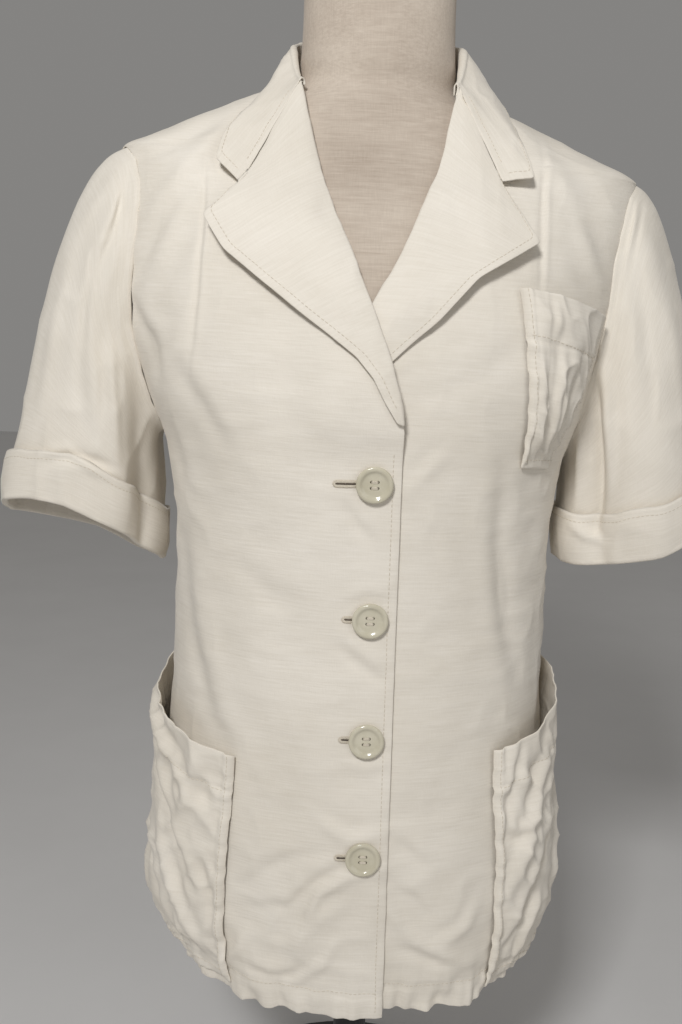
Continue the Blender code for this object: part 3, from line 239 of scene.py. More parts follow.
# Creases of the fronts, in metres across and up as seen from the front
FRONT_CREASES = (
    Crease(((-0.1197, 0.8286), (-0.1179, 0.7725), (-0.1233, 0.7056), (-0.1273, 0.6838)),
           0.0022, -0.0011, 0.8),
    Crease(((0.1175, 0.8465), (0.1132, 0.7925), (0.1122, 0.7450)), 0.0022, -0.0011, 0.8),
    Crease(((-0.0560, 0.8660), (-0.0860, 0.8160), (-0.1180, 0.7650), (-0.1500, 0.7150)), 0.011, 0.0016, 0.6),
    Crease(((-0.1000, 0.8620), (-0.1330, 0.8050), (-0.1620, 0.7350)), 0.009, 0.0020, 0.7),
    Crease(((-0.1380, 0.6900), (-0.1180, 0.6600), (-0.1000, 0.6350)), 0.007, -0.0016, 0.7),
    Crease(((0.1020, 0.8560), (0.1350, 0.8120), (0.1560, 0.7550)), 0.010, 0.0016, 0.6),
    Crease(((-0.0300, 0.3700), (-0.0080, 0.3560), (0.0150, 0.3600)), 0.005, 0.0016, 0.8),
    Crease(((0.0180, 0.3080), (0.0330, 0.2840), (0.0520, 0.2660)), 0.005, 0.0018, 0.7),
    Crease(((-0.0760, 0.2920), (-0.0560, 0.2980), (-0.0380, 0.2920)), 0.005, -0.0016, 0.7),
    Crease(((-0.1000, 0.2360), (-0.0880, 0.2560), (-0.0820, 0.2740)), 0.005, 0.0020, 0.7),
    Crease(((0.0980, 0.2280), (0.0820, 0.2440), (0.0640, 0.2500)), 0.005, 0.0018, 0.7),
    Crease(((-0.0932, 0.8531), (-0.1227, 0.8214), (-0.1497, 0.7834), (-0.1697, 0.7497)),
           0.007, -0.0022, -0.8),
    Crease(((-0.1827, 0.8291), (-0.1466, 0.8406), (-0.1115, 0.8552)), 0.006, -0.0016, 0.7),
    Crease(((-0.1512, 0.6656), (-0.1363, 0.6984), (-0.1249, 0.7256)), 0.008, 0.0018, 0.6),
    Crease(((-0.1750, 0.7323), (-0.1570, 0.7045), (-0.1500, 0.6767)), 0.006, -0.0022, 0.5),
    Crease(((0.1585, 0.7751), (0.1420, 0.7946), (0.1275, 0.8148)), 0.010, -0.0018, 0.5),
    Crease(((0.1640, 0.7400), (0.1500, 0.7700), (0.1380, 0.8000)), 0.007, 0.0012, 0.6),
    Crease(((-0.1446, 0.6440), (-0.1393, 0.6182), (-0.1337, 0.5966)), 0.006, -0.0016, 0.6),
    Crease(((-0.1349, 0.5576), (-0.1319, 0.5012), (-0.1120, 0.4320), (-0.0997, 0.4167)), 0.008, -0.0024, 0.6),
    Crease(((0.0933, 0.6228), (0.0934, 0.5723), (0.1038, 0.5036), (0.1182, 0.4572)), 0.008, -0.0024, -0.6),
    Crease(((-0.0164, 0.5989), (-0.0079, 0.5851), (0.0026, 0.5734)), 0.004, -0.0013, 0.6),
    Crease(((0.0269, 0.6103), (0.0399, 0.6241), (0.0541, 0.6391)), 0.005, 0.0008, 0.5),
    Crease(((0.0313, 0.5894), (0.0422, 0.5787), (0.0501, 0.5607)), 0.005, -0.0009, 0.5),
    Crease(((-0.0172, 0.4971), (-0.0029, 0.4846), (0.0128, 0.4741)), 0.005, -0.0018, 0.7),
    Crease(((-0.0145, 0.5277), (0.0025, 0.5341), (0.0179, 0.5300)), 0.004, -0.0009, 0.5),
    Crease(((-0.0115, 0.4144), (0.0028, 0.4089), (0.0169, 0.4135)), 0.004, 0.0008, 0.5),
    Crease(((-0.0409, 0.2780), (-0.0285, 0.3133), (-0.0092, 0.3268), (0.0173, 0.3335)), 0.0045, 0.0024, 0.7),
    Crease(((-0.0866, 0.3082), (-0.0567, 0.3330), (-0.0205, 0.3463)), 0.006, -0.0012, 0.5),
    Crease(((-0.0560, 0.2720), (-0.0470, 0.3010), (-0.0240, 0.3240)), 0.005, -0.0020, 0.6),
    Crease(((-0.0480, 0.2560), (-0.0300, 0.2900), (-0.0080, 0.3050)), 0.006, 0.0014, 0.6),
    Crease(((0.0238, 0.3548), (0.0357, 0.3455), (0.0487, 0.3309)), 0.005, -0.0016, 0.6),
    Crease(((0.0236, 0.3202), (0.0402, 0.3040), (0.0581, 0.2828)), 0.006, -0.0018, 0.6),
    Crease(((0.0290, 0.2681), (0.0555, 0.2557), (0.0962, 0.2371)), 0.005, -0.0024, 0.7),
    Crease(((0.0624, 0.2702), (0.0812, 0.2819), (0.0892, 0.2958)), 0.005, 0.0016, 0.6),
    Crease(((-0.0477, 0.2343), (-0.0257, 0.2544), (-0.0151, 0.2716)), 0.004, 0.0018, 0.7),
    Crease(((-0.0863, 0.2456), (-0.0628, 0.2408), (-0.0404, 0.2442)), 0.004, -0.0017, 0.7),
    Crease(((-0.0692, 0.2708), (-0.0518, 0.2688), (-0.0372, 0.2783)), 0.005, 0.0014, 0.6),
    Crease(((0.0310, 0.6709), (0.0641, 0.6845), (0.0983, 0.7048)), 0.010, -0.0010, 0.5),
    Crease(((-0.0968, 0.5523), (-0.0744, 0.5337), (-0.0458, 0.5222)), 0.010, -0.0008, 0.5),
)

# Creases of the back, as metres across and up, seen from behind with the wearer's right at minus
BACK_CREASES = (
    Crease(((-0.150, 0.700), (-0.120, 0.735), (-0.100, 0.780)), 0.009, 0.0022, 0.6),
    Crease(((0.150, 0.690), (0.125, 0.725), (0.104, 0.765)), 0.009, 0.0020, 0.6),
    Crease(((-0.165, 0.660), (-0.130, 0.675), (-0.090, 0.680)), 0.008, -0.0016, 0.6),
    Crease(((0.160, 0.655), (0.120, 0.662), (0.080, 0.658)), 0.008, -0.0014, 0.6),
    Crease(((-0.040, 0.620), (-0.020, 0.540), (-0.030, 0.470)), 0.014, -0.0020, 0.4),
    Crease(((0.050, 0.600), (0.035, 0.520), (0.045, 0.450)), 0.013, 0.0018, 0.4),
    Crease(((-0.130, 0.520), (-0.095, 0.500), (-0.060, 0.495)), 0.009, -0.0016, 0.5),
    Crease(((0.128, 0.500), (0.100, 0.486), (0.066, 0.488)), 0.008, 0.0016, 0.5),
    Crease(((-0.070, 0.330), (-0.060, 0.280), (-0.066, 0.225)), 0.010, -0.0024, 0.5),
    Crease(((0.020, 0.340), (0.014, 0.280), (0.020, 0.225)), 0.010, 0.0022, 0.5),
    Crease(((0.090, 0.350), (0.080, 0.290), (0.088, 0.230)), 0.009, -0.0022, 0.5),
)

# Creases of the sleeves, as turn in degrees and share of the length
RIGHT_SLEEVE_CREASES = (
    Crease(((42, 0.05), (62, 0.14), (72, 0.24)), 0.008, -0.0030, 0.7),
    Crease(((57, 0.22), (82, 0.40), (96, 0.68)), 0.007, -0.0014, -0.7),
    Crease(((104, 0.20), (113, 0.45), (118, 0.72)), 0.005, 0.0018, 0.7),
    Crease(((84, 0.84), (98, 0.78), (116, 0.72)), 0.004, -0.0018, 0.7),
    Crease(((70, 0.86), (88, 0.80), (104, 0.80)), 0.004, 0.0014, 0.7),
    Crease(((24, 0.06), (33, 0.16), (33, 0.30)), 0.007, 0.0016, 0.6),
    Crease(((39, 0.38), (50, 0.56), (57, 0.78)), 0.010, 0.0012, 0.5),
    Crease(((250, 0.12), (238, 0.30), (230, 0.60)), 0.008, -0.0024, 0.6),
    Crease(((320, 0.15), (310, 0.40), (306, 0.70)), 0.009, 0.0018, 0.6),
    Crease(((200, 0.30), (196, 0.55), (200, 0.80)), 0.007, 0.0020, 0.6),
)
LEFT_SLEEVE_CREASES = (
    Crease(((117, 0.06), (127, 0.33), (131, 0.63), (134, 0.80)), 0.006, -0.0046, 0.5),
    Crease(((108, 0.10), (115, 0.33), (120, 0.66)), 0.006, 0.0020, 0.4),
    Crease(((140, 0.10), (146, 0.37), (148, 0.66)), 0.006, 0.0030, 0.5),
    Crease(((150, 0.74), (140, 0.84), (130, 0.88)), 0.004, 0.0024, 0.8),
    Crease(((60, 0.10), (76, 0.36), (86, 0.62)), 0.010, -0.0012, 0.6),
    Crease(((22, 0.05), (40, 0.08), (58, 0.09)), 0.004, 0.0014, 0.8),
    Crease(((40, 0.12), (50, 0.40), (54, 0.74)), 0.010, 0.0012, 0.5),
    Crease(((246, 0.12), (236, 0.34), (232, 0.62)), 0.008, -0.0024, 0.6),
    Crease(((316, 0.12), (306, 0.42), (300, 0.74)), 0.009, 0.0018, 0.6),
    Crease(((196, 0.30), (200, 0.55), (196, 0.80)), 0.007, 0.0018, 0.6),
)

# Creases of the pockets, as shares across from the front edge and down from the mouth
HIP_RIGHT_CREASES = (
    Crease(((0.72, 0.02), (0.30, 0.14), (0.10, 0.30)), 0.006, 0.0034, 0.8),
    Crease(((0.60, 0.16), (0.34, 0.36), (0.14, 0.62)), 0.006, -0.0036, 0.8),
    Crease(((0.13, 0.02), (0.19, 0.20), (0.24, 0.42)), 0.006, 0.0028, 0.8),
    Crease(((0.44, 0.42), (0.26, 0.66), (0.12, 0.88)), 0.006, 0.0034, 0.9),
    Crease(((0.12, 0.48), (0.06, 0.60), (0.04, 0.74)), 0.004, -0.0026, 0.8),
    Crease(((0.62, 0.50), (0.44, 0.70), (0.34, 0.92)), 0.007, -0.0030, 0.8),
    Crease(((0.86, 0.30), (0.70, 0.56), (0.62, 0.84)), 0.008, 0.0030, 0.7),
    Crease(((0.26, 0.76), (0.20, 0.86), (0.22, 0.97)), 0.004, 0.0026, 0.8),
    Crease(((0.36, 0.04), (0.40, 0.20), (0.34, 0.34)), 0.006, 0.0024, 0.8),
)
HIP_LEFT_CREASES = (
    Crease(((0.16, 0.00), (0.09, 0.20), (0.05, 0.42)), 0.005, -0.0030, 0.8),
    Crease(((0.40, 0.10), (0.24, 0.34), (0.08, 0.60)), 0.007, 0.0036, 0.9),
    Crease(((0.46, 0.44), (0.28, 0.64), (0.12, 0.86)), 0.006, -0.0034, 0.8),
    Crease(((0.12, 0.08), (0.24, 0.16), (0.32, 0.30)), 0.006, -0.0026, 0.8),
    Crease(((0.05, 0.30), (0.14, 0.36), (0.26, 0.34)), 0.005, 0.0026, 0.8),
    Crease(((0.64, 0.06), (0.52, 0.30), (0.50, 0.56)), 0.007, -0.0030, 0.8),
    Crease(((0.78, 0.30), (0.66, 0.56), (0.62, 0.86)), 0.008, 0.0032, 0.7),
    Crease(((0.36, 0.70), (0.26, 0.82), (0.24, 0.96)), 0.005, 0.0028, 0.8),
)
CHEST_CREASES = (
    Crease(((0.16, 0.28), (0.20, 0.56), (0.34, 0.90)), 0.005, -0.0020, 0.8),
    Crease(((0.34, 0.26), (0.36, 0.56), (0.50, 0.86)), 0.005, 0.0020, 0.8),
    Crease(((0.62, 0.30), (0.60, 0.60), (0.66, 0.92)), 0.006, -0.0016, 0.7),
    Crease(((0.24, 0.02), (0.26, 0.12), (0.25, 0.24)), 0.004, 0.0014, 0.7),
)


def ease(value: np.ndarray | float) -> np.ndarray:
    """Rise smoothly from 0 to 1 while the value goes from 0 to 1."""
    t = np.clip(value, 0.0, 1.0)
    return t * t * (3.0 - 2.0 * t)


class Curve:
    """A smooth curve through table values that never overshoots them."""

    def __init__(self, places: Sequence[float], values: Sequence[float]) -> None:
        """Take the table.

        Args:
            places: Rising places along the table.
            values: The value at each place.
        """
        self.places = np.asarray(places, dtype=float)
        self.values = np.asarray(values, dtype=float)
        steps = np.diff(self.places)
        rises = np.diff(self.values) / steps
        self.slopes = np.zeros_like(self.values)
        self.slopes[0], self.slopes[-1] = rises[0], rises[-1]
        for i in range(1, len(self.values) - 1):
            if rises[i - 1] * rises[i] > 0.0:
                first, second = 2.0 * steps[i] + steps[i - 1], steps[i] + 2.0 * steps[i - 1]
                self.slopes[i] = (first + second) / (first / rises[i - 1] + second / rises[i])

    def __call__(self, place: np.ndarray | float) -> np.ndarray:
        """Read the curve.

        Args:
            place: Places along the table.

        Returns:
            The value at each place.
        """
        place = np.clip(place, self.places[0], self.places[-1])
        i = np.clip(np.searchsorted(self.places, place, side="right") - 1, 0, len(self.places) - 2)
        step = self.places[i + 1] - self.places[i]
        t = (place - self.places[i]) / step
        return (
            (2 * t**3 - 3 * t**2 + 1) * self.values[i]
            + (t**3 - 2 * t**2 + t) * step * self.slopes[i]
            + (3 * t**2 - 2 * t**3) * self.values[i + 1]
            + (t**3 - t**2) * step * self.slopes[i + 1]
        )


def spline(table: np.ndarray, places: np.ndarray) -> np.ndarray:
    """Read each column of a table smoothly at places along its rows.

    Args:
        table: Rows of values.
        places: Places from 0 to the number of rows less one.

    Returns:
        One row of values for each place.
    """
    rows = np.arange(len(table))
    return np.stack([Curve(rows, table[:, k])(places) for k in range(table.shape[1])], axis=-1)


def cornered(table: np.ndarray, places: np.ndarray, soft: float = 0.10) -> np.ndarray:
    """Read a table with straight runs between its rows and only slightly rounded corners."""
    rows = np.arange(len(table))
    total = 0.0
    for shift, weight in ((-1.0, 0.25), (0.0, 0.5), (1.0, 0.25)):
        at = np.clip(places + shift * soft, 0.0, len(table) - 1.0)
        columns = [np.interp(at, rows, table[:, k]) for k in range(table.shape[1])]
        total = total + weight * np.stack(columns, axis=-1)
    return total


class Grain:
    """Smooth repeatable noise in space, for the lie of worn cloth."""

    def __init__(self, seed: int) -> None:
        """Fill the lattice from a fixed seed."""
        self.lattice = np.random.default_rng(seed).uniform(-1.0, 1.0, 4096)

    def _corner(self, cell: np.ndarray) -> np.ndarray:
        """Value at lattice corners."""
        mixed = cell[..., 0] * 73856093 ^ cell[..., 1] * 19349663 ^ cell[..., 2] * 83492791
        return self.lattice[mixed & 4095]

    def __call__(self, points: np.ndarray, size: float | tuple[float, float, float]) -> np.ndarray:
        """Read the noise.

        Args:
            points: Points in metres, with three places each.
            size: Size of one lump in metres, for all axes or for each.

        Returns:
            Values from -1 to 1.
        """
        scaled = points / np.asarray(size, dtype=float) + 1000.0
        cell = np.floor(scaled).astype(np.int64)
        part = scaled - cell
        part = part**3 * (part * (part * 6.0 - 15.0) + 10.0)
        total = np.zeros(points.shape[:-1])
        for corner in range(8):
            bits = np.array([corner & 1, corner >> 1 & 1, corner >> 2 & 1])
            weight = np.prod(np.where(bits, part, 1.0 - part), axis=-1)
            total += weight * self._corner(cell + bits)
        return total

    def ridged(self, points: np.ndarray, size: float | tuple[float, float, float]) -> np.ndarray:
        """Noise with sharp crests, like the folds of crumpled linen."""
        return 1.0 - 2.0 * np.abs(self(points, size)) ** 0.7


GRAIN = Grain(7)


def crease_height(u: np.ndarray, v: np.ndarray, creases: Sequence[Crease],
                  scale: tuple[float, float]) -> np.ndarray:
    """Height that a set of creases adds.

    Args:
        u: First coordinate of the creases' own plane.
        v: Second coordinate of it.
        creases: The creases.
        scale: Metres in one unit of each coordinate.

    Returns:
        Height at each place, in metres.
    """
    place = np.stack([u * scale[0], v * scale[1]], axis=-1)
    height = np.zeros(u.shape)
    for crease in creases:
        line = np.array(crease.path, dtype=float) * scale
        steps = np.diff(line, axis=0)
        lengths = np.linalg.norm(steps, axis=1)
        starts = np.concatenate([[0.0], np.cumsum(lengths)])
        best = np.full(u.shape, 1e9)
        side = np.zeros(u.shape)
        along = np.zeros(u.shape)
        for k, (start, step, length) in enumerate(zip(line, steps, lengths)):
            offset = place - start
            t = np.clip((offset @ step) / length**2, 0.0, 1.0)
            away = offset - t[..., None] * step
            distance = np.linalg.norm(away, axis=-1)
            nearer = distance < best
            best = np.where(nearer, distance, best)
            cross = (step[0] * offset[..., 1] - step[1] * offset[..., 0]) / length
            side = np.where(nearer, cross, side)
            along = np.where(nearer, (starts[k] + t * length) / starts[-1], along)
        taper = np.sin(np.pi * np.clip(along * 0.86 + 0.07, 0.0, 1.0)) ** 0.8
        profile = np.exp(-((best / crease.width) ** 2))
        beside = (side - math.copysign(1.7 * crease.width, crease.lee or 1.0)) / (1.2 * crease.width)
        reach = np.exp(-((best / (3.5 * crease.width)) ** 2))
        profile -= abs(crease.lee) * np.exp(-(beside**2)) * reach
        height += crease.height * taper * profile
    return height


def lean_at(z: np.ndarray | float) -> np.ndarray:
    """Lean of the ring at a height."""
    return LEAN * ease((z - LEAN_START_Z) / (LEAN_FULL_Z - LEAN_START_Z))


def near_hem(z: np.ndarray | float) -> np.ndarray:
    """Share of the hem's shaping that is left at a height."""
    return np.maximum(0.0, 1.0 - (z - HEM_Z) / HEM_FADE)


def unit(vectors: np.ndarray) -> np.ndarray:
    """Vectors at length one."""
    return vectors / np.maximum(np.linalg.norm(vectors, axis=-1, keepdims=True), 1e-12)


class BodyForm:
    """The jacket's outer surface, as level rings that close over the shoulders."""

    def __init__(self) -> None:
        """Read the section table."""
        self.right, self.left, self.front, self.back, self.square = (
            Curve(SECTIONS[:, 0], SECTIONS[:, k]) for k in range(1, 6)
        )

    def bare(self, turn: np.ndarray | float, z: np.ndarray | float) -> np.ndarray:
        """Points of the surface without folds.

        Args:
            turn: Degrees from the centre front, positive to the wearer's left.
            z: Ring heights.

        Returns:
            Points with three places each.
        """
        turn, z = np.broadcast_arrays(np.asarray(turn, float), np.asarray(z, float))
        sine, cosine = np.sin(np.radians(turn)), np.cos(np.radians(turn))
        width = np.where(sine >= 0.0, self.left(z), self.right(z))
        depth = np.where(cosine >= 0.0, self.front(z), self.back(z))
        power = 2.0 / self.square(z)
        x = np.sign(sine) * width * np.abs(sine) ** power
        y = -np.sign(cosine) * depth * np.abs(cosine) ** power
        rise = HEM_RISE * sine**4 * near_hem(z) ** 2
        return np.stack([x, y, z - lean_at(z) * x + rise], axis=-1)

    def normal(self, turn: np.ndarray | float, z: np.ndarray | float) -> np.ndarray:
        """Directions out of the surface."""
        turn, z = np.broadcast_arrays(np.asarray(turn, float), np.asarray(z, float))
        around = self.bare(turn + 1.5, z) - self.bare(turn - 1.5, z)
        upward = self.bare(turn, z + 0.003) - self.bare(turn, z - 0.003)
        return unit(np.cross(around, upward))

    def folds(self, turn: np.ndarray, z: np.ndarray) -> np.ndarray:
        """Height of the broad folds, as in the solids."""
        height = np.zeros(np.broadcast(turn, z).shape)
        for place, level, width, length, slant, size in BODY_FOLDS:
            across = (turn - place + 180.0) % 360.0 - 180.0
            across = across - math.tan(math.radians(slant)) * (z - level) * 100.0
            height += size * np.exp(-((across / width) ** 2) - ((z - level) / length) ** 2)
        return height

    def relief(self, turn: np.ndarray, z: np.ndarray, points: np.ndarray) -> np.ndarray:
        """Height of creases and crumple, the same for every layer on the body.

        Args:
            turn: Degrees from the centre front.
            z: Ring heights.
            points: The bare points.

        Returns:
            Height at each place, in metres.
        """
        facing = ease(0.5 + 2.0 * np.cos(np.radians(turn)))
        metres = (1.0, 1.0)
        across, up = points[..., 0], points[..., 2]
        height = FRONT_CREASE_GAIN * facing * crease_height(across, up, FRONT_CREASES, metres)
        height += BACK_CREASE_GAIN * (1.0 - facing) * crease_height(across, up, BACK_CREASES, metres)
        low = ease((0.36 - z) / 0.16)
        waist = np.exp(-(((z - 0.50) / 0.14) ** 2))
        sides = ease((np.abs(np.sin(np.radians(turn))) - 0.55) / 0.4)
        height += (0.0011 + 0.0016 * low + 0.0011 * sides) * GRAIN(points, (0.040, 0.040, 0.070))
        crumple = GRAIN.ridged(points + 0.006 * GRAIN(points + 3.0, 0.03)[..., None], (0.030, 0.030, 0.022))
        height += (0.00038 + 0.00095 * low + 0.00060 * sides * waist) * crumple
        height += 0.00022 * GRAIN(points, (0.016, 0.016, 0.007))
        height += self.hem_pucker(turn, z, points)
        return np.maximum(height, RELIEF_FLOOR)

    def hem_pucker(self, turn: np.ndarray, z: np.ndarray, points: np.ndarray) -> np.ndarray:
        """Height of the small gathers that stand across the hem."""
        level = z - HEM_Z
        around = np.stack([turn * BODY_DEGREE, np.zeros_like(points[..., 0]), level * 0.25], axis=-1)
        wave = GRAIN(around, 0.0090) + 0.6 * GRAIN(around + 5.0, 0.0045)
        band = np.exp(-((level / 0.026) ** 2))
        line = np.exp(-(((level - 0.019) / 0.0022) ** 2))
        return 0.0027 * band * wave - 0.0011 * line

    def surface(self, turn: np.ndarray, z: np.ndarray, lift: np.ndarray | float = 0.0) -> np.ndarray:
        """Points of the worn surface, moved out by a lift."""
        points = self.bare(turn, z)
        turn, z = np.broadcast_arrays(np.asarray(turn, float), np.asarray(z, float))
        height = self.folds(turn, z) + self.relief(turn, z, points) + lift
        points = points + self.normal(turn, z) * np.asarray(height)[..., None]
        wave = GRAIN(np.stack([turn * BODY_DEGREE, turn * 0.0, turn * 0.0], axis=-1), 0.011)
        points[..., 2] += 0.0017 * wave * np.exp(-(((z - HEM_Z) / 0.010) ** 2))
        return points

    def turn_at(self, x: np.ndarray | float, z: np.ndarray | float) -> np.ndarray:
        """Turn at which the front of a ring has a given place across."""
        x = np.asarray(x, float)
        width = np.where(x >= 0.0, self.left(z), self.right(z))
        sine = np.minimum(np.abs(x) / width, 1.0) ** (self.square(z) / 2.0)
        return np.sign(x) * np.degrees(np.arcsin(sine))

    def front_place(self, x: np.ndarray | float, z: np.ndarray | float) -> tuple[np.ndarray, np.ndarray]:
        """Turn and ring height of a true place across and a true height on the front."""
        level = z + lean_at(z) * np.asarray(x, float)
        return self.turn_at(x, level), level

    def radius(self, z: np.ndarray | float) -> np.ndarray:
        """Mean radius of a ring."""
        return (self.right(z) + self.left(z) + self.front(z) + self.back(z)) / 4.0


FORM = BodyForm()


def overlap_lift(x: np.ndarray, z: np.ndarray) -> np.ndarray:
    """How far the overlapping right front stands out over the left front."""
    across = ease((x - OVERLAP_START_X) / (OVERLAP_FULL_X - OVERLAP_START_X))
    crossing = (CROSSING_LIFT - OVERLAP_LIFT) * ease((z - CROSSING_START_Z) / CROSSING_RISE)
    return across * (OVERLAP_LIFT + crossing) * (1.0 - ease((z - OVERLAP_FADE_Z) / OVERLAP_FADE))


def shoulder_turn(side: Side) -> float:
    """Turn of the shoulder seam."""
    return RIGHT_SHOULDER_TURN if side is Side.RIGHT else LEFT_SHOULDER_TURN


def armhole_turn(side: Side, z: np.ndarray, front: np.ndarray) -> np.ndarray:
    """Turn of the armhole seam at ring heights, on the front or the back of a side."""
    t = np.clip((z - UNDERARM_Z) / (SHOULDER_Z - UNDERARM_Z), 0.0, 1.0)
    oval = (1.0 - np.abs(2.0 * t - 1.0) ** ARMHOLE_OVAL[0]) ** (1.0 / ARMHOLE_OVAL[1])
    half_width = np.where(front, ARMHOLE_FRONT, ARMHOLE_BACK)
    depth = np.where(front, FORM.front(z), FORM.back(z))
    slip = np.degrees(np.arcsin((half_width * oval / depth) ** (FORM.square(z) / 2.0)))
    seam = 90.0 + (shoulder_turn(side) - 90.0) * ease(t)
    return np.where(front, seam - slip, seam + slip)


def side_turn(side: Side, z: np.ndarray, front: bool) -> np.ndarray:
    """Turn at which a panel ends on a side: side seam, armhole, then shoulder seam."""
    edge = np.where(z <= UNDERARM_Z, 90.0, armhole_turn(side, z, np.full(z.shape, front)))
    edge = np.where(z >= SHOULDER_Z, shoulder_turn(side), edge)
    gap = np.degrees(0.5 * SEAM_GAP / FORM.radius(z))
    return edge - gap if front else edge + gap


def panel_heights(count: int) -> np.ndarray:
    """Ring heights of the body panels, closer together at the shoulder."""
    low = np.linspace(HEM_Z, 0.800, int(count * 0.72), endpoint=False)
    corner = np.linspace(0.800, SHOULDER_Z, int(count * 0.12), endpoint=False)
    top = np.linspace(SHOULDER_Z, NECKLINE_Z, count - len(low) - len(corner))
    return np.concatenate([low, corner, top])


def roll_curve(side: Side) -> Curve:
    """Place of a roll line across the front, by height."""
    table = RIGHT_ROLL if side is Side.RIGHT else LEFT_ROLL
    return Curve(table[:, 0], table[:, 1])


# Meshes

def grid_normals(grid: np.ndarray, ring: bool) -> np.ndarray:
    """Unit normals of a grid of points."""
    if ring:
        around = np.roll(grid, -1, axis=1) - np.roll(grid, 1, axis=1)
    else:
        around = np.gradient(grid, axis=1)
    return unit(np.cross(around, np.gradient(grid, axis=0)))


def path_length(grid: np.ndarray, axis: int) -> np.ndarray:
    """Length along a grid's rows or columns, from the start to each point."""
    steps = np.linalg.norm(np.diff(grid, axis=axis), axis=-1)
    start = np.zeros_like(np.take(steps, [0], axis=axis))
    return np.concatenate([start, np.cumsum(steps, axis=axis)], axis=axis)


def dress(name: str, mesh: bpy.types.Mesh, material: bpy.types.Material) -> bpy.types.Object:
    """Put a mesh into the scene as a smooth piece that rides on the body.

    Args:
        name: The piece's name.
        mesh: Its mesh.
        material: Its finish.

    Returns:
        The new object.
    """
    mesh.materials.clear()
    mesh.materials.append(material)
    mesh.shade_smooth()
    piece = bpy.data.objects.new(name, mesh)
    bpy.context.scene.collection.objects.link(piece)
    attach(piece, BODY)
    LOG.info("%s: %d faces", name, len(mesh.polygons))
    return piece


def face_outward(mesh: bpy.types.Mesh) -> None:
    """Turn all faces of a closed mesh to its outside."""
    build = bmesh.new()
    build.from_mesh(mesh)
    bmesh.ops.recalc_face_normals(build, faces=build.faces)
    build.to_mesh(mesh)
    build.free()


def aimed(place: Sequence[float], direction: Vector, axis: str) -> Matrix:
    """Place and turn that point an axis of a thing along a direction."""
    return Matrix.Translation(place) @ direction.to_track_quat(axis, "Y").to_matrix().to_4x4()


def cloth_mesh(name: str, grid: np.ndarray, wall: float, ring: bool = False) -> bpy.types.Mesh:
    """Closed cloth with rounded edges and a map in metres.

    Args:
        name: The mesh's name.
        grid: Outer points in rows and columns.
        wall: The cloth's thickness.
        ring: Whether the last column meets the first.

    Returns:
        The mesh.
    """
    rows, columns = grid.shape[:2]
    normals = grid_normals(grid, ring)
    inner = grid - normals * wall
    wide = np.mean(path_length(grid, 1), axis=0)
    tall = np.mean(path_length(grid, 0), axis=1)
    verts = [grid.reshape(-1, 3), inner.reshape(-1, 3)]
    count = rows * columns
    spans = columns if ring else columns - 1
    i, j = (a.ravel() for a in np.meshgrid(np.arange(rows - 1), np.arange(spans), indexing="ij"))
    k = (j + 1) % columns
    outer = np.stack([i * columns + j, i * columns + k, (i + 1) * columns + k, (i + 1) * columns + j], axis=1)
    faces = [outer, outer[:, ::-1] + count]
    edges = [[(0, c) for c in range(columns)], [(rows - 1, c) for c in range(columns)][::-1]]
    if not ring:
        edges = [edges[0][:-1] + [(r, columns - 1) for r in range(rows - 1)]
                 + edges[1][:-1] + [(r, 0) for r in range(rows - 1, 0, -1)]]
    for loop in edges:
        r, c = np.array(loop).T
        flat = r * columns + c
        inward_r = np.where(r == 0, 1, np.where(r == rows - 1, rows - 2, r))
        inward_c = c if ring else np.where(c == 0, 1, np.where(c == columns - 1, columns - 2, c))
        edge, within = grid[r, c], grid[inward_r, inward_c]
        out = edge - within
        out -= np.sum(out * normals[r, c], axis=-1, keepdims=True) * normals[r, c]
        out = unit(out)
        previous = flat
        for step, angle in enumerate((45.0, 90.0, 135.0)):
            a = math.radians(angle)
            arc = edge - normals[r, c] * wall * 0.5 * (1.0 - math.cos(a)) + out * wall * 0.5 * math.sin(a)
            start = sum(len(block) for block in verts)
            verts.append(arc)
            current = start + np.arange(len(loop))
            faces.append(np.stack([np.roll(previous, -1), previous, current, np.roll(current, -1)], axis=1))
            previous = current
        last = flat + count
        faces.append(np.stack([np.roll(previous, -1), previous, last, np.roll(last, -1)], axis=1))
    points = np.concatenate(verts)
    quads = np.concatenate(faces)
    mesh = bpy.data.meshes.new(name)
    mesh.from_pydata(points.tolist(), [], quads.tolist())
    face_outward(mesh)
    place = np.zeros((len(points), 2))
    u, v = np.meshgrid(wide, tall)
    base = np.stack([u, v], axis=-1).reshape(-1, 2)
    place[:count], place[count:2 * count] = base, base
    tail = 2 * count
    for loop in edges:
        r, c = np.array(loop).T
        for _ in range(3):
            place[tail:tail + len(loop)] = base[r * columns + c]
            tail += len(loop)
    layer = mesh.uv_layers.new(name="cloth")
    corner = np.zeros(len(mesh.loops), dtype=np.int32)
    mesh.loops.foreach_get("vertex_index", corner)
    layer.uv.foreach_set("vector", place[corner].astype(np.float32).ravel())
    return mesh


# Materials

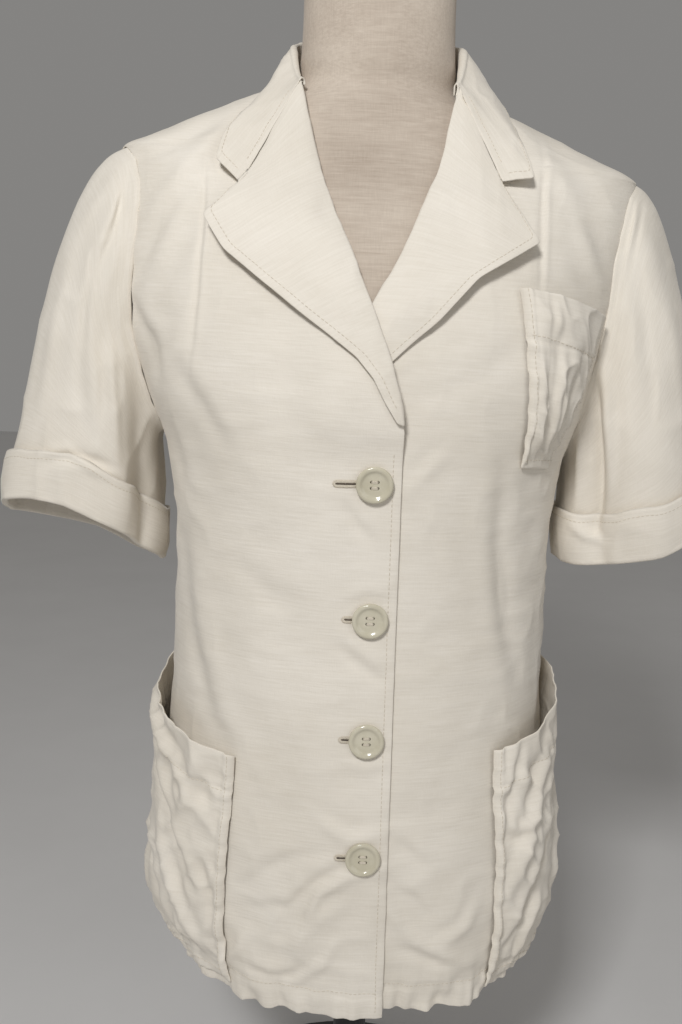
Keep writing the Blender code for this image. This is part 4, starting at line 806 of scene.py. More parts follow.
class Signal:
    """A number socket in a material, with arithmetic that adds Math nodes."""

    def __init__(self, shader: "Shader", socket: bpy.types.NodeSocket) -> None:
        """Keep the socket and the tree that it is in."""
        self.shader = shader
        self.socket = socket

    def _math(self, operation: str, first: "Signal | float", second: "Signal | float") -> "Signal":
        """Join two values with a Math node."""
        node = self.shader.node("ShaderNodeMath", {"operation": operation}, {0: first, 1: second})
        return Signal(self.shader, node.outputs[0])

    def __add__(self, other: "Signal | float") -> "Signal":
        """Sum."""
        return self._math("ADD", self, other)

    __radd__ = __add__

    def __sub__(self, other: "Signal | float") -> "Signal":
        """Difference."""
        return self._math("SUBTRACT", self, other)

    def __rsub__(self, other: "Signal | float") -> "Signal":
        """Difference from a number."""
        return self._math("SUBTRACT", other, self)

    def __mul__(self, other: "Signal | float") -> "Signal":
        """Product."""
        return self._math("MULTIPLY", self, other)

    __rmul__ = __mul__


class Shader:
    """A Principled material, built from expressions on its nodes."""

    def __init__(self, name: str) -> None:
        """Make the material and find its shader node."""
        self.material = bpy.data.materials.new(name)
        self.material.use_nodes = True
        self.tree = self.material.node_tree
        self.principled = self.tree.nodes["Principled BSDF"]

    def node(self, kind: str, settings: dict, inputs: dict) -> bpy.types.Node:
        """Add one node.

        Args:
            kind: Its type.
            settings: Its properties, and a ramp's stops under "stops".
            inputs: Values, signals or sockets for its inputs, by name or number.

        Returns:
            The node.
        """
        made = self.tree.nodes.new(kind)
        for key, value in settings.items():
            if key == "stops":
                while len(made.color_ramp.elements) < len(value):
                    made.color_ramp.elements.new(0.5)
                for element, (place, colour) in zip(made.color_ramp.elements, value):
                    element.position, element.color = place, colour
            else:
                setattr(made, key, value)
        for key, value in inputs.items():
            self.feed(made.inputs[key], value)
        return made

    def feed(self, socket: bpy.types.NodeSocket, value: "Signal | bpy.types.NodeSocket | float") -> None:
        """Link or set one input."""
        if isinstance(value, Signal):
            value = value.socket
        if isinstance(value, bpy.types.NodeSocket):
            self.tree.links.new(value, socket)
        else:
            socket.default_value = value

    def signal(self, node: bpy.types.Node, output: str | int) -> Signal:
        """One output of a node as a signal."""
        return Signal(self, node.outputs[output])

    def mapped(self, scale: tuple[float, float, float], uv: str | None = "cloth") -> bpy.types.NodeSocket:
        """Coordinates of the cloth's own map, or of the object, scaled."""
        if uv:
            source = self.node("ShaderNodeUVMap", {"uv_map": uv}, {}).outputs["UV"]
        else:
            source = self.node("ShaderNodeTexCoord", {}, {}).outputs["Object"]
        return self.node("ShaderNodeMapping", {}, {"Vector": source, "Scale": scale}).outputs["Vector"]

    def noise(self, where: bpy.types.NodeSocket, detail: float = 2.0, rough: float = 0.5) -> Signal:
        """Noise at coordinates that are already scaled."""
        node = self.node("ShaderNodeTexNoise", {}, {"Vector": where, "Scale": 1.0, "Detail": detail,
                                                     "Roughness": rough})
        return self.signal(node, "Fac")

    def tint(self, amount: Signal, dark: tuple, light: tuple, low: float = 0.3,
             high: float = 0.7) -> bpy.types.NodeSocket:
        """Colour between two, by a signal."""
        return self.node("ShaderNodeValToRGB", {"stops": [(low, (*dark, 1.0)), (high, (*light, 1.0))]},
                         {"Fac": amount}).outputs["Color"]

    def bump(self, height: Signal, distance: float, strength: float = 1.0) -> None:
        """Raise the surface by a signal, in metres."""
        node = self.node("ShaderNodeBump", {}, {"Height": height, "Distance": distance, "Strength": strength})
        self.feed(self.principled.inputs["Normal"], node.outputs["Normal"])

    def plain(self, **values: float | tuple) -> None:
        """Set the shader's own sockets."""
        for key, value in values.items():
            self.principled.inputs[key.replace("_", " ").title().replace("Ior", "IOR")].default_value = value


@dataclass(frozen=True)
class LinenFinish:
    """Woven linen with slubs, on the cloth's own map or on the object's place."""

    name: str
    dark: tuple[float, float, float]
    light: tuple[float, float, float]
    slub: float = 1.0
    uv: str | None = "cloth"

    def build(self) -> bpy.types.Material:
        """Make the material."""
        shader = Shader(self.name)
        weft = shader.noise(shader.mapped((90.0, 1500.0, 1500.0), self.uv), 3.0, 0.6)
        warp = shader.noise(shader.mapped((1700.0, 110.0, 110.0), self.uv), 2.0, 0.5)
        slubs = shader.noise(shader.mapped((38.0, 620.0, 620.0), self.uv), 1.0, 0.4)
        cloud = shader.noise(shader.mapped((9.0, 9.0, 9.0), self.uv), 3.0, 0.6)
        weave = weft * 0.5 + warp * 0.3 + slubs * (0.5 * self.slub)
        shade = weave * 0.45 + cloud * 0.55
        colour = shader.tint(shade, self.dark, self.light, 0.35, 0.75)
        shader.feed(shader.principled.inputs["Base Color"], colour)
        shader.feed(shader.principled.inputs["Roughness"], 0.80 + weave * 0.12)
        shader.plain(specular_ior_level=0.25)
        shader.principled.inputs["Sheen Weight"].default_value = 0.12
        shader.principled.inputs["Sheen Roughness"].default_value = 0.5
        crimp = shader.noise(shader.mapped((160.0, 160.0, 160.0), self.uv), 3.0, 0.6)
        shader.bump(weave * 0.6 + crimp * 0.5, 0.0006, 0.55)
        return shader.material


@dataclass(frozen=True)
class PlainFinish:
    """A smooth finish with a faint cloud in its colour and roughness."""

    name: str
    dark: tuple[float, float, float]
    light: tuple[float, float, float]
    roughness: float
    metallic: float = 0.0
    coat: float = 0.0
    scale: float = 60.0
    bump: float = 0.00005

    def build(self) -> bpy.types.Material:
        """Make the material."""
        shader = Shader(self.name)
        where = shader.mapped((self.scale,) * 3, None)
        cloud = shader.noise(where, 4.0, 0.6)
        shader.feed(shader.principled.inputs["Base Color"], shader.tint(cloud, self.dark, self.light))
        rough = self.roughness * 0.8 + cloud * (self.roughness * 0.4)
        shader.feed(shader.principled.inputs["Roughness"], rough)
        shader.principled.inputs["Metallic"].default_value = self.metallic
        shader.principled.inputs["Coat Weight"].default_value = self.coat
        shader.bump(cloud, self.bump, 0.5)
        return shader.material


@dataclass
class Finishes:
    """Every material of the scene."""

    linen: bpy.types.Material = field(init=False)
    form: bpy.types.Material = field(init=False)
    button: bpy.types.Material = field(init=False)
    thread: bpy.types.Material = field(init=False)
    slit_shade: bpy.types.Material = field(init=False)
    metal: bpy.types.Material = field(init=False)
    floor: bpy.types.Material = field(init=False)

    def __post_init__(self) -> None:
        """Build them."""
        self.linen = LinenFinish("jacket_linen", (0.68, 0.625, 0.535), (0.83, 0.78, 0.70)).build()
        self.form = LinenFinish("form_linen", (0.38, 0.31, 0.25), (0.66, 0.58, 0.49),
                                slub=0.8, uv=None).build()
        self.button = PlainFinish("button_plastic", (0.52, 0.48, 0.36), (0.62, 0.58, 0.46),
                                  0.16, coat=0.5).build()
        self.thread = PlainFinish("cream_thread", (0.58, 0.52, 0.42), (0.70, 0.64, 0.54),
                                  0.8, scale=900.0).build()
        # Near-black finish for the buttonhole cuts: painted shade, not a colour of the cloth
        self.slit_shade = PlainFinish("buttonhole_shade", (0.05, 0.035, 0.025), (0.11, 0.08, 0.055), 0.9).build()
        self.metal = PlainFinish("stand_paint", (0.020, 0.020, 0.021), (0.036, 0.035, 0.034), 0.42).build()
        self.floor = PlainFinish("studio_floor", (0.72, 0.71, 0.70), (0.75, 0.74, 0.73),
                                 0.85, scale=4.0).build()


# Sub-assemblies

def inside_edge(grid: np.ndarray, reach: float, edge: str) -> np.ndarray:
    """Points on a cloth grid that lie a set way in from one of its edges.

    Args:
        grid: Outer points in rows and columns.
        reach: Way in from the edge.
        edge: "first row", "last row", "first column" or "last column".

    Returns:
        One point for each row or column along the edge.
    """
    lines = grid if edge.endswith("column") else grid.transpose(1, 0, 2)
    lines = lines[:, ::-1] if edge.startswith("last") else lines
    away = path_length(lines, 1)
    return np.stack([[np.interp(reach, far, line[:, k]) for k in range(3)] for far, line in zip(away, lines)])


class Seamstress:
    """Sews runs of stitches along paths with one node tree."""

    def __init__(self, finishes: Finishes) -> None:
        """Build the tree, with its sizes as named inputs."""
        self.finishes = finishes
        self.tree = bpy.data.node_groups.new("stitch_run", "GeometryNodeTree")
        face = self.tree.interface
        face.new_socket("Geometry", in_out="INPUT", socket_type="NodeSocketGeometry")
        self.sockets = {
            name: face.new_socket(name, in_out="INPUT", socket_type=kind).identifier
            for name, kind in (("Pitch", "NodeSocketFloat"), ("Stitch Length", "NodeSocketFloat"),
                               ("Thread Width", "NodeSocketFloat"), ("Unevenness", "NodeSocketFloat"),
                               ("Seed", "NodeSocketInt"), ("Thread", "NodeSocketMaterial"))
        }
        face.new_socket("Geometry", in_out="OUTPUT", socket_type="NodeSocketGeometry")
        given = self.node("NodeGroupInput", {}, {}).outputs
        path = self.node("GeometryNodeMeshToCurve", {}, {"Mesh": given["Geometry"]})
        even = self.node("GeometryNodeResampleCurve", {"mode": "LENGTH"},
                         {"Curve": path.outputs["Curve"], "Length": given["Pitch"]})
        lie = self.node("GeometryNodeInputNamedAttribute", {"data_type": "FLOAT_VECTOR"}, {"Name": "lie"})
        turned = self.node("FunctionNodeAlignRotationToVector", {"axis": "Z"},
                           {"Vector": lie.outputs["Attribute"]})
        low = self.node("ShaderNodeMath", {"operation": "SUBTRACT"}, {0: 1.0, 1: given["Unevenness"]})
        high = self.node("ShaderNodeMath", {"operation": "ADD"}, {0: 1.0, 1: given["Unevenness"]})
        chance = self.node("FunctionNodeRandomValue", {"data_type": "FLOAT"}, {"Seed": given["Seed"]})
        self.tree.links.new(low.outputs[0], next(s for s in chance.inputs if s.name == "Min" and s.enabled))
        self.tree.links.new(high.outputs[0], next(s for s in chance.inputs if s.name == "Max" and s.enabled))
        drawn = next(s for s in chance.outputs if s.enabled)
        long = self.node("ShaderNodeMath", {"operation": "MULTIPLY"}, {0: drawn, 1: given["Stitch Length"]})
        size = self.node("ShaderNodeCombineXYZ", {},
                         {"X": given["Thread Width"], "Y": given["Thread Width"], "Z": long.outputs[0]})
        grain = self.node("GeometryNodeMeshUVSphere", {}, {"Segments": 6, "Rings": 5, "Radius": 0.5})
        many = self.node("GeometryNodeInstanceOnPoints", {},
                         {"Points": even.outputs["Curve"], "Instance": grain.outputs["Mesh"],
                          "Rotation": turned.outputs["Rotation"], "Scale": size.outputs["Vector"]})
        real = self.node("GeometryNodeRealizeInstances", {}, {"Geometry": many.outputs["Instances"]})
        dyed = self.node("GeometryNodeSetMaterial", {},
                         {"Geometry": real.outputs["Geometry"], "Material": given["Thread"]})
        self.node("NodeGroupOutput", {}, {"Geometry": dyed.outputs["Geometry"]})

    def node(self, kind: str, settings: dict, inputs: dict) -> bpy.types.Node:
        """Add one node to the tree.

        Args:
            kind: Its type.
            settings: Its properties.
            inputs: Values or sockets for its inputs.

        Returns:
            The node.
        """
        made = self.tree.nodes.new(kind)
        for key, value in settings.items():
            setattr(made, key, value)
        for key, value in inputs.items():
            if isinstance(value, bpy.types.NodeSocket):
                self.tree.links.new(value, made.inputs[key])
            else:
                made.inputs[key].default_value = value
        return made

    def sew(self, name: str, runs: list[tuple[np.ndarray, np.ndarray | None]], pitch: float, length: float,
            width: float, material: bpy.types.Material, uneven: float = 0.12) -> bpy.types.Object:
        """Sew stitches along paths and make them one piece.

        Args:
            name: The piece's name.
            runs: Each path's points, and the direction in which stitches lie on it or None for along it.
            pitch: Way from stitch to stitch.
            length: Length of a stitch.
            width: Width of the thread.
            material: The thread's finish.
            uneven: Share by which the stitches differ in length.

        Returns:
            The piece.
        """
        points, edges, lies = [], [], []
        for path, lie in runs:
            start = sum(len(part) for part in points)
            points.append(path)
            edges += [(start + k, start + k + 1) for k in range(len(path) - 1)]
            lies.append(unit(np.gradient(path, axis=0)) if lie is None else np.broadcast_to(lie, path.shape))
        mesh = bpy.data.meshes.new(f"{name}_path")
        mesh.from_pydata(np.concatenate(points).tolist(), edges, [])
        layer = mesh.attributes.new("lie", "FLOAT_VECTOR", "POINT")
        layer.data.foreach_set("vector", np.concatenate(lies).astype(np.float32).ravel())
        guide = bpy.data.objects.new(f"{name}_path", mesh)
        bpy.context.scene.collection.objects.link(guide)
        sewing = guide.modifiers.new("stitches", "NODES")
        sewing.node_group = self.tree
        for key, value in (("Pitch", pitch), ("Stitch Length", length), ("Thread Width", width),
                           ("Unevenness", uneven), ("Seed", len(name)), ("Thread", material)):
            sewing[self.sockets[key]] = value
        depsgraph = bpy.context.evaluated_depsgraph_get()
        result = bpy.data.meshes.new_from_object(guide.evaluated_get(depsgraph))
        guide.modifiers.clear()
        bpy.data.objects.remove(guide, do_unlink=True)
        return dress(name, result, material)

    def topstitch(self, name: str, paths: list[np.ndarray]) -> None:
        """Sew a line of seam stitches along each path."""
        runs = [(path, None) for path in paths]
        self.sew(name, runs, STITCH_PITCH, STITCH_LENGTH, STITCH_WIDTH, self.finishes.thread)


@dataclass
class Panels:
    """The two fronts and the back."""

    finishes: Finishes
    seamstress: Seamstress
    rows: int = 250
    front_columns: int = 126
    back_columns: int = 172

    def front_grid(self, side: Side) -> np.ndarray:
        """Outer points of one front, from its front edge or roll line to its side."""
        z = panel_heights(self.rows)[:, None]
        roll = roll_curve(side)
        outer = side.value * side_turn(side, z, True)
        straight_x = FRONT_EDGE_X if side is Side.RIGHT else UNDER_EDGE_X
        edge_x = np.where(z <= BREAK_Z, straight_x, roll(z))
        near = FORM.turn_at(roll(GORGE_Z), z)
        rising = near + (outer * 0.95 - near) * (z - GORGE_Z) / (NECKLINE_Z - GORGE_Z)
        inner = np.where(z <= GORGE_Z, FORM.turn_at(edge_x, z), rising)
        turn = inner + (outer - inner) * np.linspace(0.0, 1.0, self.front_columns)[None, :]
        level = np.broadcast_to(z, turn.shape)
        x = FORM.bare(turn, level)[..., 0]
        lift = overlap_lift(x, level) if side is Side.RIGHT else 0.0
        grid = FORM.surface(turn, level, lift)
        if side is Side.LEFT:
            grid[..., 2] += LEFT_FRONT_SHORTER * near_hem(level) * (1.0 - ease(x / LEFT_FRONT_SHORT_WIDTH))
            return grid
        return grid[:, ::-1]

    def back_grid(self) -> np.ndarray:
        """Outer points of the back."""
        z = panel_heights(self.rows)[:, None]
        start, end = side_turn(Side.LEFT, z, False), 360.0 - side_turn(Side.RIGHT, z, False)
        turn = start + (end - start) * np.linspace(0.0, 1.0, self.back_columns)[None, :]
        return FORM.surface(turn, np.broadcast_to(z, turn.shape))

    def build(self) -> None:
        """Make the three panels."""
        for name, grid in (("front_right", self.front_grid(Side.RIGHT)),
                           ("front_left", self.front_grid(Side.LEFT)),
                           ("back", self.back_grid())):
            mesh = cloth_mesh(f"{name}_cloth", grid, CLOTH_WALL)
            piece = dress(f"{name}_cloth", mesh, self.finishes.linen)
            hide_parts(name)
            declare_sheet(piece)
            runs = [inside_edge(grid, HEM_SEAM, "first row")[3:-3]]
            if name == "front_right":
                below = grid[:, 0, 2] < BREAK_Z - 0.008
                runs.append(inside_edge(grid, EDGE_SEAM, "last column")[below][2:])
            self.seamstress.topstitch(f"{name}_stitches", runs)


def declare_sheet(piece: bpy.types.Object) -> None:
    """Log the flat size that a cloth piece was cut to.

    Args:
        piece: The cloth, closed with two layers.
    """
    mesh = piece.data
    area = sum(face.area for face in mesh.polygons) / 2.0
    layer = np.zeros(len(mesh.loops) * 2, dtype=np.float32)
    mesh.uv_layers["cloth"].uv.foreach_get("vector", layer)
    spread = layer.reshape(-1, 2)
    width, length = (float(v) for v in spread.max(axis=0) - spread.min(axis=0))
    grow = max(1.0, area / (width * length))
    width, length = width * math.sqrt(grow) + 0.002, length * math.sqrt(grow) + 0.002
    LOG.info("%s: cut %.3f x %.3f m, area %.4f", piece.name, width, length, area)


@dataclass
class CollarAndLapels:
    """The collar with its stand, and both lapels rolled out of the fronts."""

    finishes: Finishes
    seamstress: Seamstress
    stations: int = 136
    fall_steps: int = 30
    lapel_rows: int = 90
    fold_steps: int = 7

    def neckline_z(self, x: np.ndarray, y: np.ndarray) -> np.ndarray:
        """Height of the neckline seam."""
        return NECKLINE_Z - (NECKLINE_Z - GORGE_Z) * ease((-0.004 - y) / 0.037) - LEAN * x

    def profiles(self) -> np.ndarray:
        """Points of each station of the collar, from the neck seam over the fold to the edge."""
        turn, fold_z, radius, edge_turn, edge_z, edge_lift = COLLAR.T
        a = np.radians(turn)
        out = np.stack([np.sin(a), -np.cos(a), np.zeros_like(a)], axis=-1)
        up = np.array([0.0, 0.0, 1.0])
        fold = np.array([0.0, NECK_AXIS_Y, 0.0]) + out * radius[:, None] + up * fold_z[:, None]
        centre = fold - up * COLLAR_FOLD_RADIUS
        inside = centre - out * COLLAR_FOLD_RADIUS
        stand = inside[:, 2] - self.neckline_z(inside[:, 0], inside[:, 1]) - STAND_CLEARANCE
        points = [inside - up * (stand * k / 6.0)[:, None] for k in range(6, 0, -1)]
        for angle in np.linspace(180.0, 22.5, self.fold_steps):
            b = math.radians(angle)
            points.append(centre + (out * math.cos(b) + up * math.sin(b)) * COLLAR_FOLD_RADIUS)
        stand_off = (edge_lift + LAPEL_WALL)[:, None]
        edge = FORM.bare(edge_turn, edge_z) + FORM.normal(edge_turn, edge_z) * stand_off
        top = centre + out * COLLAR_FOLD_RADIUS
        middle = top + (edge - top) * 0.42 + out * COLLAR_BULGE + up * COLLAR_BULGE
        for t in np.linspace(0.0, 1.0, self.fall_steps + 1):
            points.append(top * (1 - t) ** 2 + middle * (2 * t * (1 - t)) + edge * t**2)
        return np.stack(points, axis=1)

    def collar_grid(self) -> np.ndarray:
        """Points of the collar, station by station."""
        profiles = self.profiles()
        places = np.linspace(0.0, len(profiles) - 1.0, self.stations)
        flat = profiles.reshape(len(profiles), -1)
        smooth, sharp = (read(flat, places).reshape(self.stations, -1, 3) for read in (spline, cornered))
        share = ease(np.linspace(0.0, 1.0, self.fall_steps + 1))[None, :, None]
        smooth[:, -self.fall_steps - 1:] += (sharp - smooth)[:, -self.fall_steps - 1:] * share
        return smooth

    def relief(self, grid: np.ndarray) -> np.ndarray:
        """Height of the soft waves and the crumple of the collar and the lapels."""
        waves = 0.0013 * GRAIN(grid + 11.0, (0.026, 0.026, 0.045))
        return waves + 0.00045 * GRAIN.ridged(grid + 17.0, (0.012, 0.012, 0.022))

    def lapel_grid(self, side: Side, gorge: np.ndarray) -> np.ndarray:
        """Points of a lapel, rolled round the front's edge and across to its own edge.

        Args:
            side: The wearer's side.
            gorge: The row of points that it shares with the collar.

        Returns:
            Rows from the break up to the gorge.
        """
        table = RIGHT_LAPEL if side is Side.RIGHT else LEFT_LAPEL
        places = np.linspace(0.0, len(table) - 1.0, self.lapel_rows)
        roll_z, edge_x, edge_z, edge_lift = cornered(table, places).T[..., None]
        roll = roll_curve(side)
        roll_x = roll(roll_z)
        t = np.linspace(0.0, 1.0, self.fall_steps + 1)[None, :]
        x = roll_x + (edge_x - roll_x) * t
        z = roll_z + (edge_z - roll_z) * t
        swell = 0.05 * np.abs(edge_x - roll_x) * np.sin(np.pi * t**0.7)
        lift = SAFE_GAP + LAPEL_WALL + edge_lift * t**2 + swell
        if side is Side.RIGHT:
            lift = lift + overlap_lift(x, z)
        turn, level = FORM.front_place(x, z)
        own = FORM.surface(turn, level, lift)
        blend = ease((places - (len(table) - 3)) / 2.0)[:, None, None]
        fall = own * (1.0 - blend) + gorge[None] * blend
        across = unit(fall[:, :1] - fall[:, 3:4])
        turn, level = FORM.front_place(roll_x, roll_z)
        up = FORM.normal(turn, level)
        up = unit(up - np.sum(up * across, axis=-1, keepdims=True) * across)
        small = ease(places / 0.9)[:, None, None]
        closing = 1.0 - 0.92 * ease((places - len(table) + 3.4) / 2.3)[:, None, None]
        radius = (0.0008 + 0.0015 * small) * closing
        fold = []
        for angle in np.linspace(-90.0, 75.0, self.fold_steps):
            a = math.radians(angle)
            fold.append(fall[:, :1] + across * radius * math.cos(a) + up * radius * (math.sin(a) - 1.0))
        return np.concatenate(fold + [fall], axis=1)

    def build(self) -> None:
        """Make the collar and the lapels."""
        collar = self.collar_grid()
        falls = collar[:, -self.fall_steps - 1:]
        for side, end, beside in ((Side.RIGHT, 0, 1), (Side.LEFT, -1, -2)):
            away = unit(falls[end] - falls[beside])
            grid = self.lapel_grid(side, falls[end] + away * 0.0011)
            grid = grid if side is Side.LEFT else grid[:, ::-1]
            grid = grid + grid_normals(grid, False) * self.relief(grid)[..., None]
            name = f"lapel_{side.name.lower()}"
            mesh = cloth_mesh(name, grid, DRAWN_LAPEL_WALL)
            piece = dress(f"{name}_cloth", mesh, self.finishes.linen)
            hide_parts(name)
            declare_sheet(piece)
            edge = "last column" if side is Side.LEFT else "first column"
            self.seamstress.topstitch(f"{name}_stitches", [inside_edge(grid, EDGE_SEAM, edge)[8:-3]])
        grid = collar[:, ::-1]
        grid = grid + grid_normals(grid, False) * self.relief(grid)[..., None]
        mesh = cloth_mesh("collar", grid, DRAWN_COLLAR_WALL)
        piece = dress("collar_cloth", mesh, self.finishes.linen)
        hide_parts("collar")
        declare_sheet(piece)
        ends = [inside_edge(grid, COLLAR_END_SEAM, edge)[5:26] for edge in ("first row", "last row")]
        outer = inside_edge(grid, EDGE_SEAM, "first column")[4:-4]
        self.seamstress.topstitch("collar_stitches", [outer, *ends])


@dataclass
class Sleeve:
    """One set-in sleeve with its turned-up cuff."""

    finishes: Finishes
    seamstress: Seamstress
    side: Side
    columns: int = 180
    rows: int = 96

    def ring(self) -> HemRing:
        """The hem ring of this side."""
        return RIGHT_HEM_RING if self.side is Side.RIGHT else LEFT_HEM_RING

    def armhole(self, turn: np.ndarray) -> np.ndarray:
        """Points of the armhole at turns round the sleeve."""
        z = UNDERARM_Z + (SHOULDER_Z - UNDERARM_Z) * (0.5 + 0.5 * np.cos(np.radians(turn)))
        front = turn <= 180.0
        gap = np.degrees(ARMHOLE_GAP / FORM.radius(z))
        body_turn = armhole_turn(self.side, z, front) + np.where(front, gap, -gap)
        z = np.clip(z, UNDERARM_Z + ARMHOLE_GAP * 2.0, SHOULDER_Z - ARMHOLE_GAP * 2.0)
        signed = self.side.value * body_turn
        return FORM.bare(signed, z) - FORM.normal(signed, z) * 0.0005

    def hem(self, turn: np.ndarray) -> np.ndarray:
        """Points of the hem ring at turns."""
        corners = np.array([self.ring().outer, self.ring().front, self.ring().inner, self.ring().back])
        centre = corners.mean(axis=0)
        quarter = (turn % 360.0 // 90.0).astype(int)
        a = np.radians(turn % 90.0)
        power = 2.0 / 2.3
        start, end = corners[quarter] - centre, corners[(quarter + 1) % 4] - centre
        return centre + start * (np.cos(a) ** power)[..., None] + end * (np.sin(a) ** power)[..., None]

    def surface(self, turn: np.ndarray, along: np.ndarray, relief: bool = True) -> np.ndarray:
        """Points of the sleeve's outer face.

        Args:
            turn: Degrees round the sleeve: 0 outer, 90 front, 180 inner, 270 back.
            along: From 0 at the armhole to 1 at the hem.
            relief: Whether the small creases are on it.

        Returns:
            Points with three places each.
        """
        turn, along = np.broadcast_arrays(np.asarray(turn, float), np.asarray(along, float))
        start, end = self.armhole(turn), self.hem(turn)
        length = np.linalg.norm(end - start, axis=-1, keepdims=True)
        top = 0.5 + 0.5 * np.cos(np.radians(turn))
        pull = np.stack([self.side.value * (0.055 + self.ring().spread * top),
                         -0.030 * np.sin(np.radians(turn)), -0.012 - 0.038 * top], axis=-1)
        pull = pull * np.minimum(1.0, length / 0.16)
        push = np.array([self.side.value * 0.180, 0.0, -1.0]) * (1.05 * length)
        t = along[..., None]
        point = (start * (2 * t**3 - 3 * t**2 + 1) + pull * (t**3 - 2 * t**2 + t)
                 + end * (3 * t**2 - 2 * t**3) + push * (t**3 - t**2))
        centre = (np.array(self.ring().outer) + np.array(self.ring().inner)) / 2.0
        out = point - centre
        out[..., 2] = 0.0
        out = unit(out)
        folds = RIGHT_SLEEVE_FOLDS if self.side is Side.RIGHT else LEFT_SLEEVE_FOLDS
        height = np.zeros(turn.shape)
        for place, middle, width, reach, size in folds:
            across = (turn - place + 180.0) % 360.0 - 180.0
            height += size * np.exp(-((across / width) ** 2) - ((along - middle) / reach) ** 2)
        height *= ease(along / 0.3)
        if relief:
            creases = RIGHT_SLEEVE_CREASES if self.side is Side.RIGHT else LEFT_SLEEVE_CREASES
            folds = crease_height(turn, along, creases, (0.00105, 0.22))
            height += SLEEVE_CREASE_GAIN * folds * ease(along / 0.08)
            height += 0.0019 * GRAIN(point, (0.032, 0.032, 0.060)) * ease(along / 0.15)
            height += 0.00095 * GRAIN.ridged(point + 4.0, (0.022, 0.022, 0.038)) * ease(along / 0.1)
            pucker = GRAIN(np.stack([turn * SLEEVE_DEGREE, along * 0.05, along * 0.0], axis=-1), 0.0060)
            height += 0.0007 * pucker * np.exp(-((along / 0.045) ** 2))
            height += 0.0010 * np.exp(-(((along - 0.02) / 0.022) ** 2))
        return point + out * height[..., None]

    def cuff_grid(self) -> np.ndarray:
        """Closed profile of the cuff at each turn, as a grid of turns and profile points."""
        turn = np.linspace(0.0, 360.0, self.columns, endpoint=False)
        low = self.surface(turn, np.full(turn.shape, 1.0))
        before = self.surface(turn, np.full(turn.shape, 0.9), False)
        speed = np.linalg.norm(self.surface(turn, np.full(turn.shape, 1.0), False) - before, axis=-1) / 0.1
        wave = GRAIN(np.stack([turn * SLEEVE_DEGREE, turn * 0.0, turn * 0.0], axis=-1), 0.022)
        high_along = 1.0 - (CUFF_DEPTH + 0.0022 * wave) / speed
        high = self.surface(turn, high_along)
        down = unit(low - high)
        foot = np.full(turn.shape, 1.0)
        beside = self.surface(turn + 3.0, foot) - self.surface(turn - 3.0, foot)
        out = unit(np.cross(beside, down)) * self.side.value
        ripple = GRAIN(np.stack([turn * SLEEVE_DEGREE, turn * 0.0 + 4.0, turn * 0.0], axis=-1), 0.011)
        rows = []
        for share in np.linspace(0.0, 1.0, 15):
            along = high_along + (1.0 - high_along) * share
            body = self.surface(turn, along)
            stand = 0.0034 + 0.0012 * (1.0 - share) ** 2 + 0.0010 * math.sin(math.pi * share)
            stand = stand + 0.0007 * ripple * (0.3 + 0.7 * share)
            rows.append(body + out * np.broadcast_to(stand, turn.shape)[:, None])
        for angle in (20.0, 50.0, 80.0, 110.0, 140.0, 165.0):
            a = math.radians(angle)
            rows.append(low + out * (0.0008 + 0.0028 * math.cos(a)) + down * (0.0010 + 0.0024 * math.sin(a)))
        for reach in (0.000, 0.010, 0.022, 0.030):
            rows.append(low - down * reach - out * 0.0021)
        for reach in (0.030, 0.000):
            rows.append(low - down * reach - out * 0.0012)
        rows.append(low + out * 0.0008 + down * 0.0006)
        for share in (0.9, 0.6, 0.3, 0.05):
            along = high_along + (1.0 - high_along) * share
            rows.append(self.surface(turn, along) + out * (0.0010 + 0.0018 * (1.0 - share)))
        return np.stack(rows, axis=1)

    def build(self) -> None:
        """Make the sleeve and its cuff."""
        name = self.side.name.lower()
        along = np.linspace(0.0, 1.0, self.rows)[:, None] ** 1.1
        turn = np.linspace(0.0, 360.0, self.columns, endpoint=False)[None, :]
        grid = self.surface(turn, along)[::-1]
        grid = grid[:, ::-1] if self.side is Side.LEFT else grid
        piece = dress(f"sleeve_{name}_cloth", cloth_mesh(f"sleeve_{name}", grid, CLOTH_WALL, ring=True),
                      self.finishes.linen)
        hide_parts(f"sleeve_{name}")
        declare_sheet(piece)
        self.build_cuff(name)

    def build_cuff(self, name: str) -> None:
        """Make the cuff as a closed band."""
        grid = self.cuff_grid()
        turns, corners = grid.shape[:2]
        i, j = (a.ravel() for a in np.meshgrid(np.arange(turns), np.arange(corners), indexing="ij"))
        m, n = (i + 1) % turns, (j + 1) % corners
        quads = np.stack([i * corners + j, m * corners + j, m * corners + n, i * corners + n], axis=1)
        mesh = bpy.data.meshes.new(f"cuff_{name}")
        mesh.from_pydata(grid.reshape(-1, 3).tolist(), [], quads.tolist())
        face_outward(mesh)
        wide = np.concatenate([path_length(grid[:, :1], 0)[:, 0], [0.0]])
        wide[-1] = wide[-2] + np.linalg.norm(grid[0, 0] - grid[-1, 0])
        tall = path_length(grid[:1], 1)[0]
        layer = mesh.uv_layers.new(name="cloth")
        vectors = np.zeros((len(mesh.loops), 2), dtype=np.float32)
        corner = np.zeros(len(mesh.loops), dtype=np.int32)
        mesh.loops.foreach_get("vertex_index", corner)
        vectors[:, 0], vectors[:, 1] = wide[corner // corners], tall[corner % corners]
        layer.uv.foreach_set("vector", vectors.ravel())
        piece = dress(f"cuff_{name}_cloth", mesh, self.finishes.linen)
        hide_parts(f"cuff_{name}")
        declare_sheet(piece)
        run = inside_edge(grid[:, :14], CUFF_SEAM, "first column")
        self.seamstress.topstitch(f"cuff_{name}_stitches", [np.concatenate([run, run[:1]])])


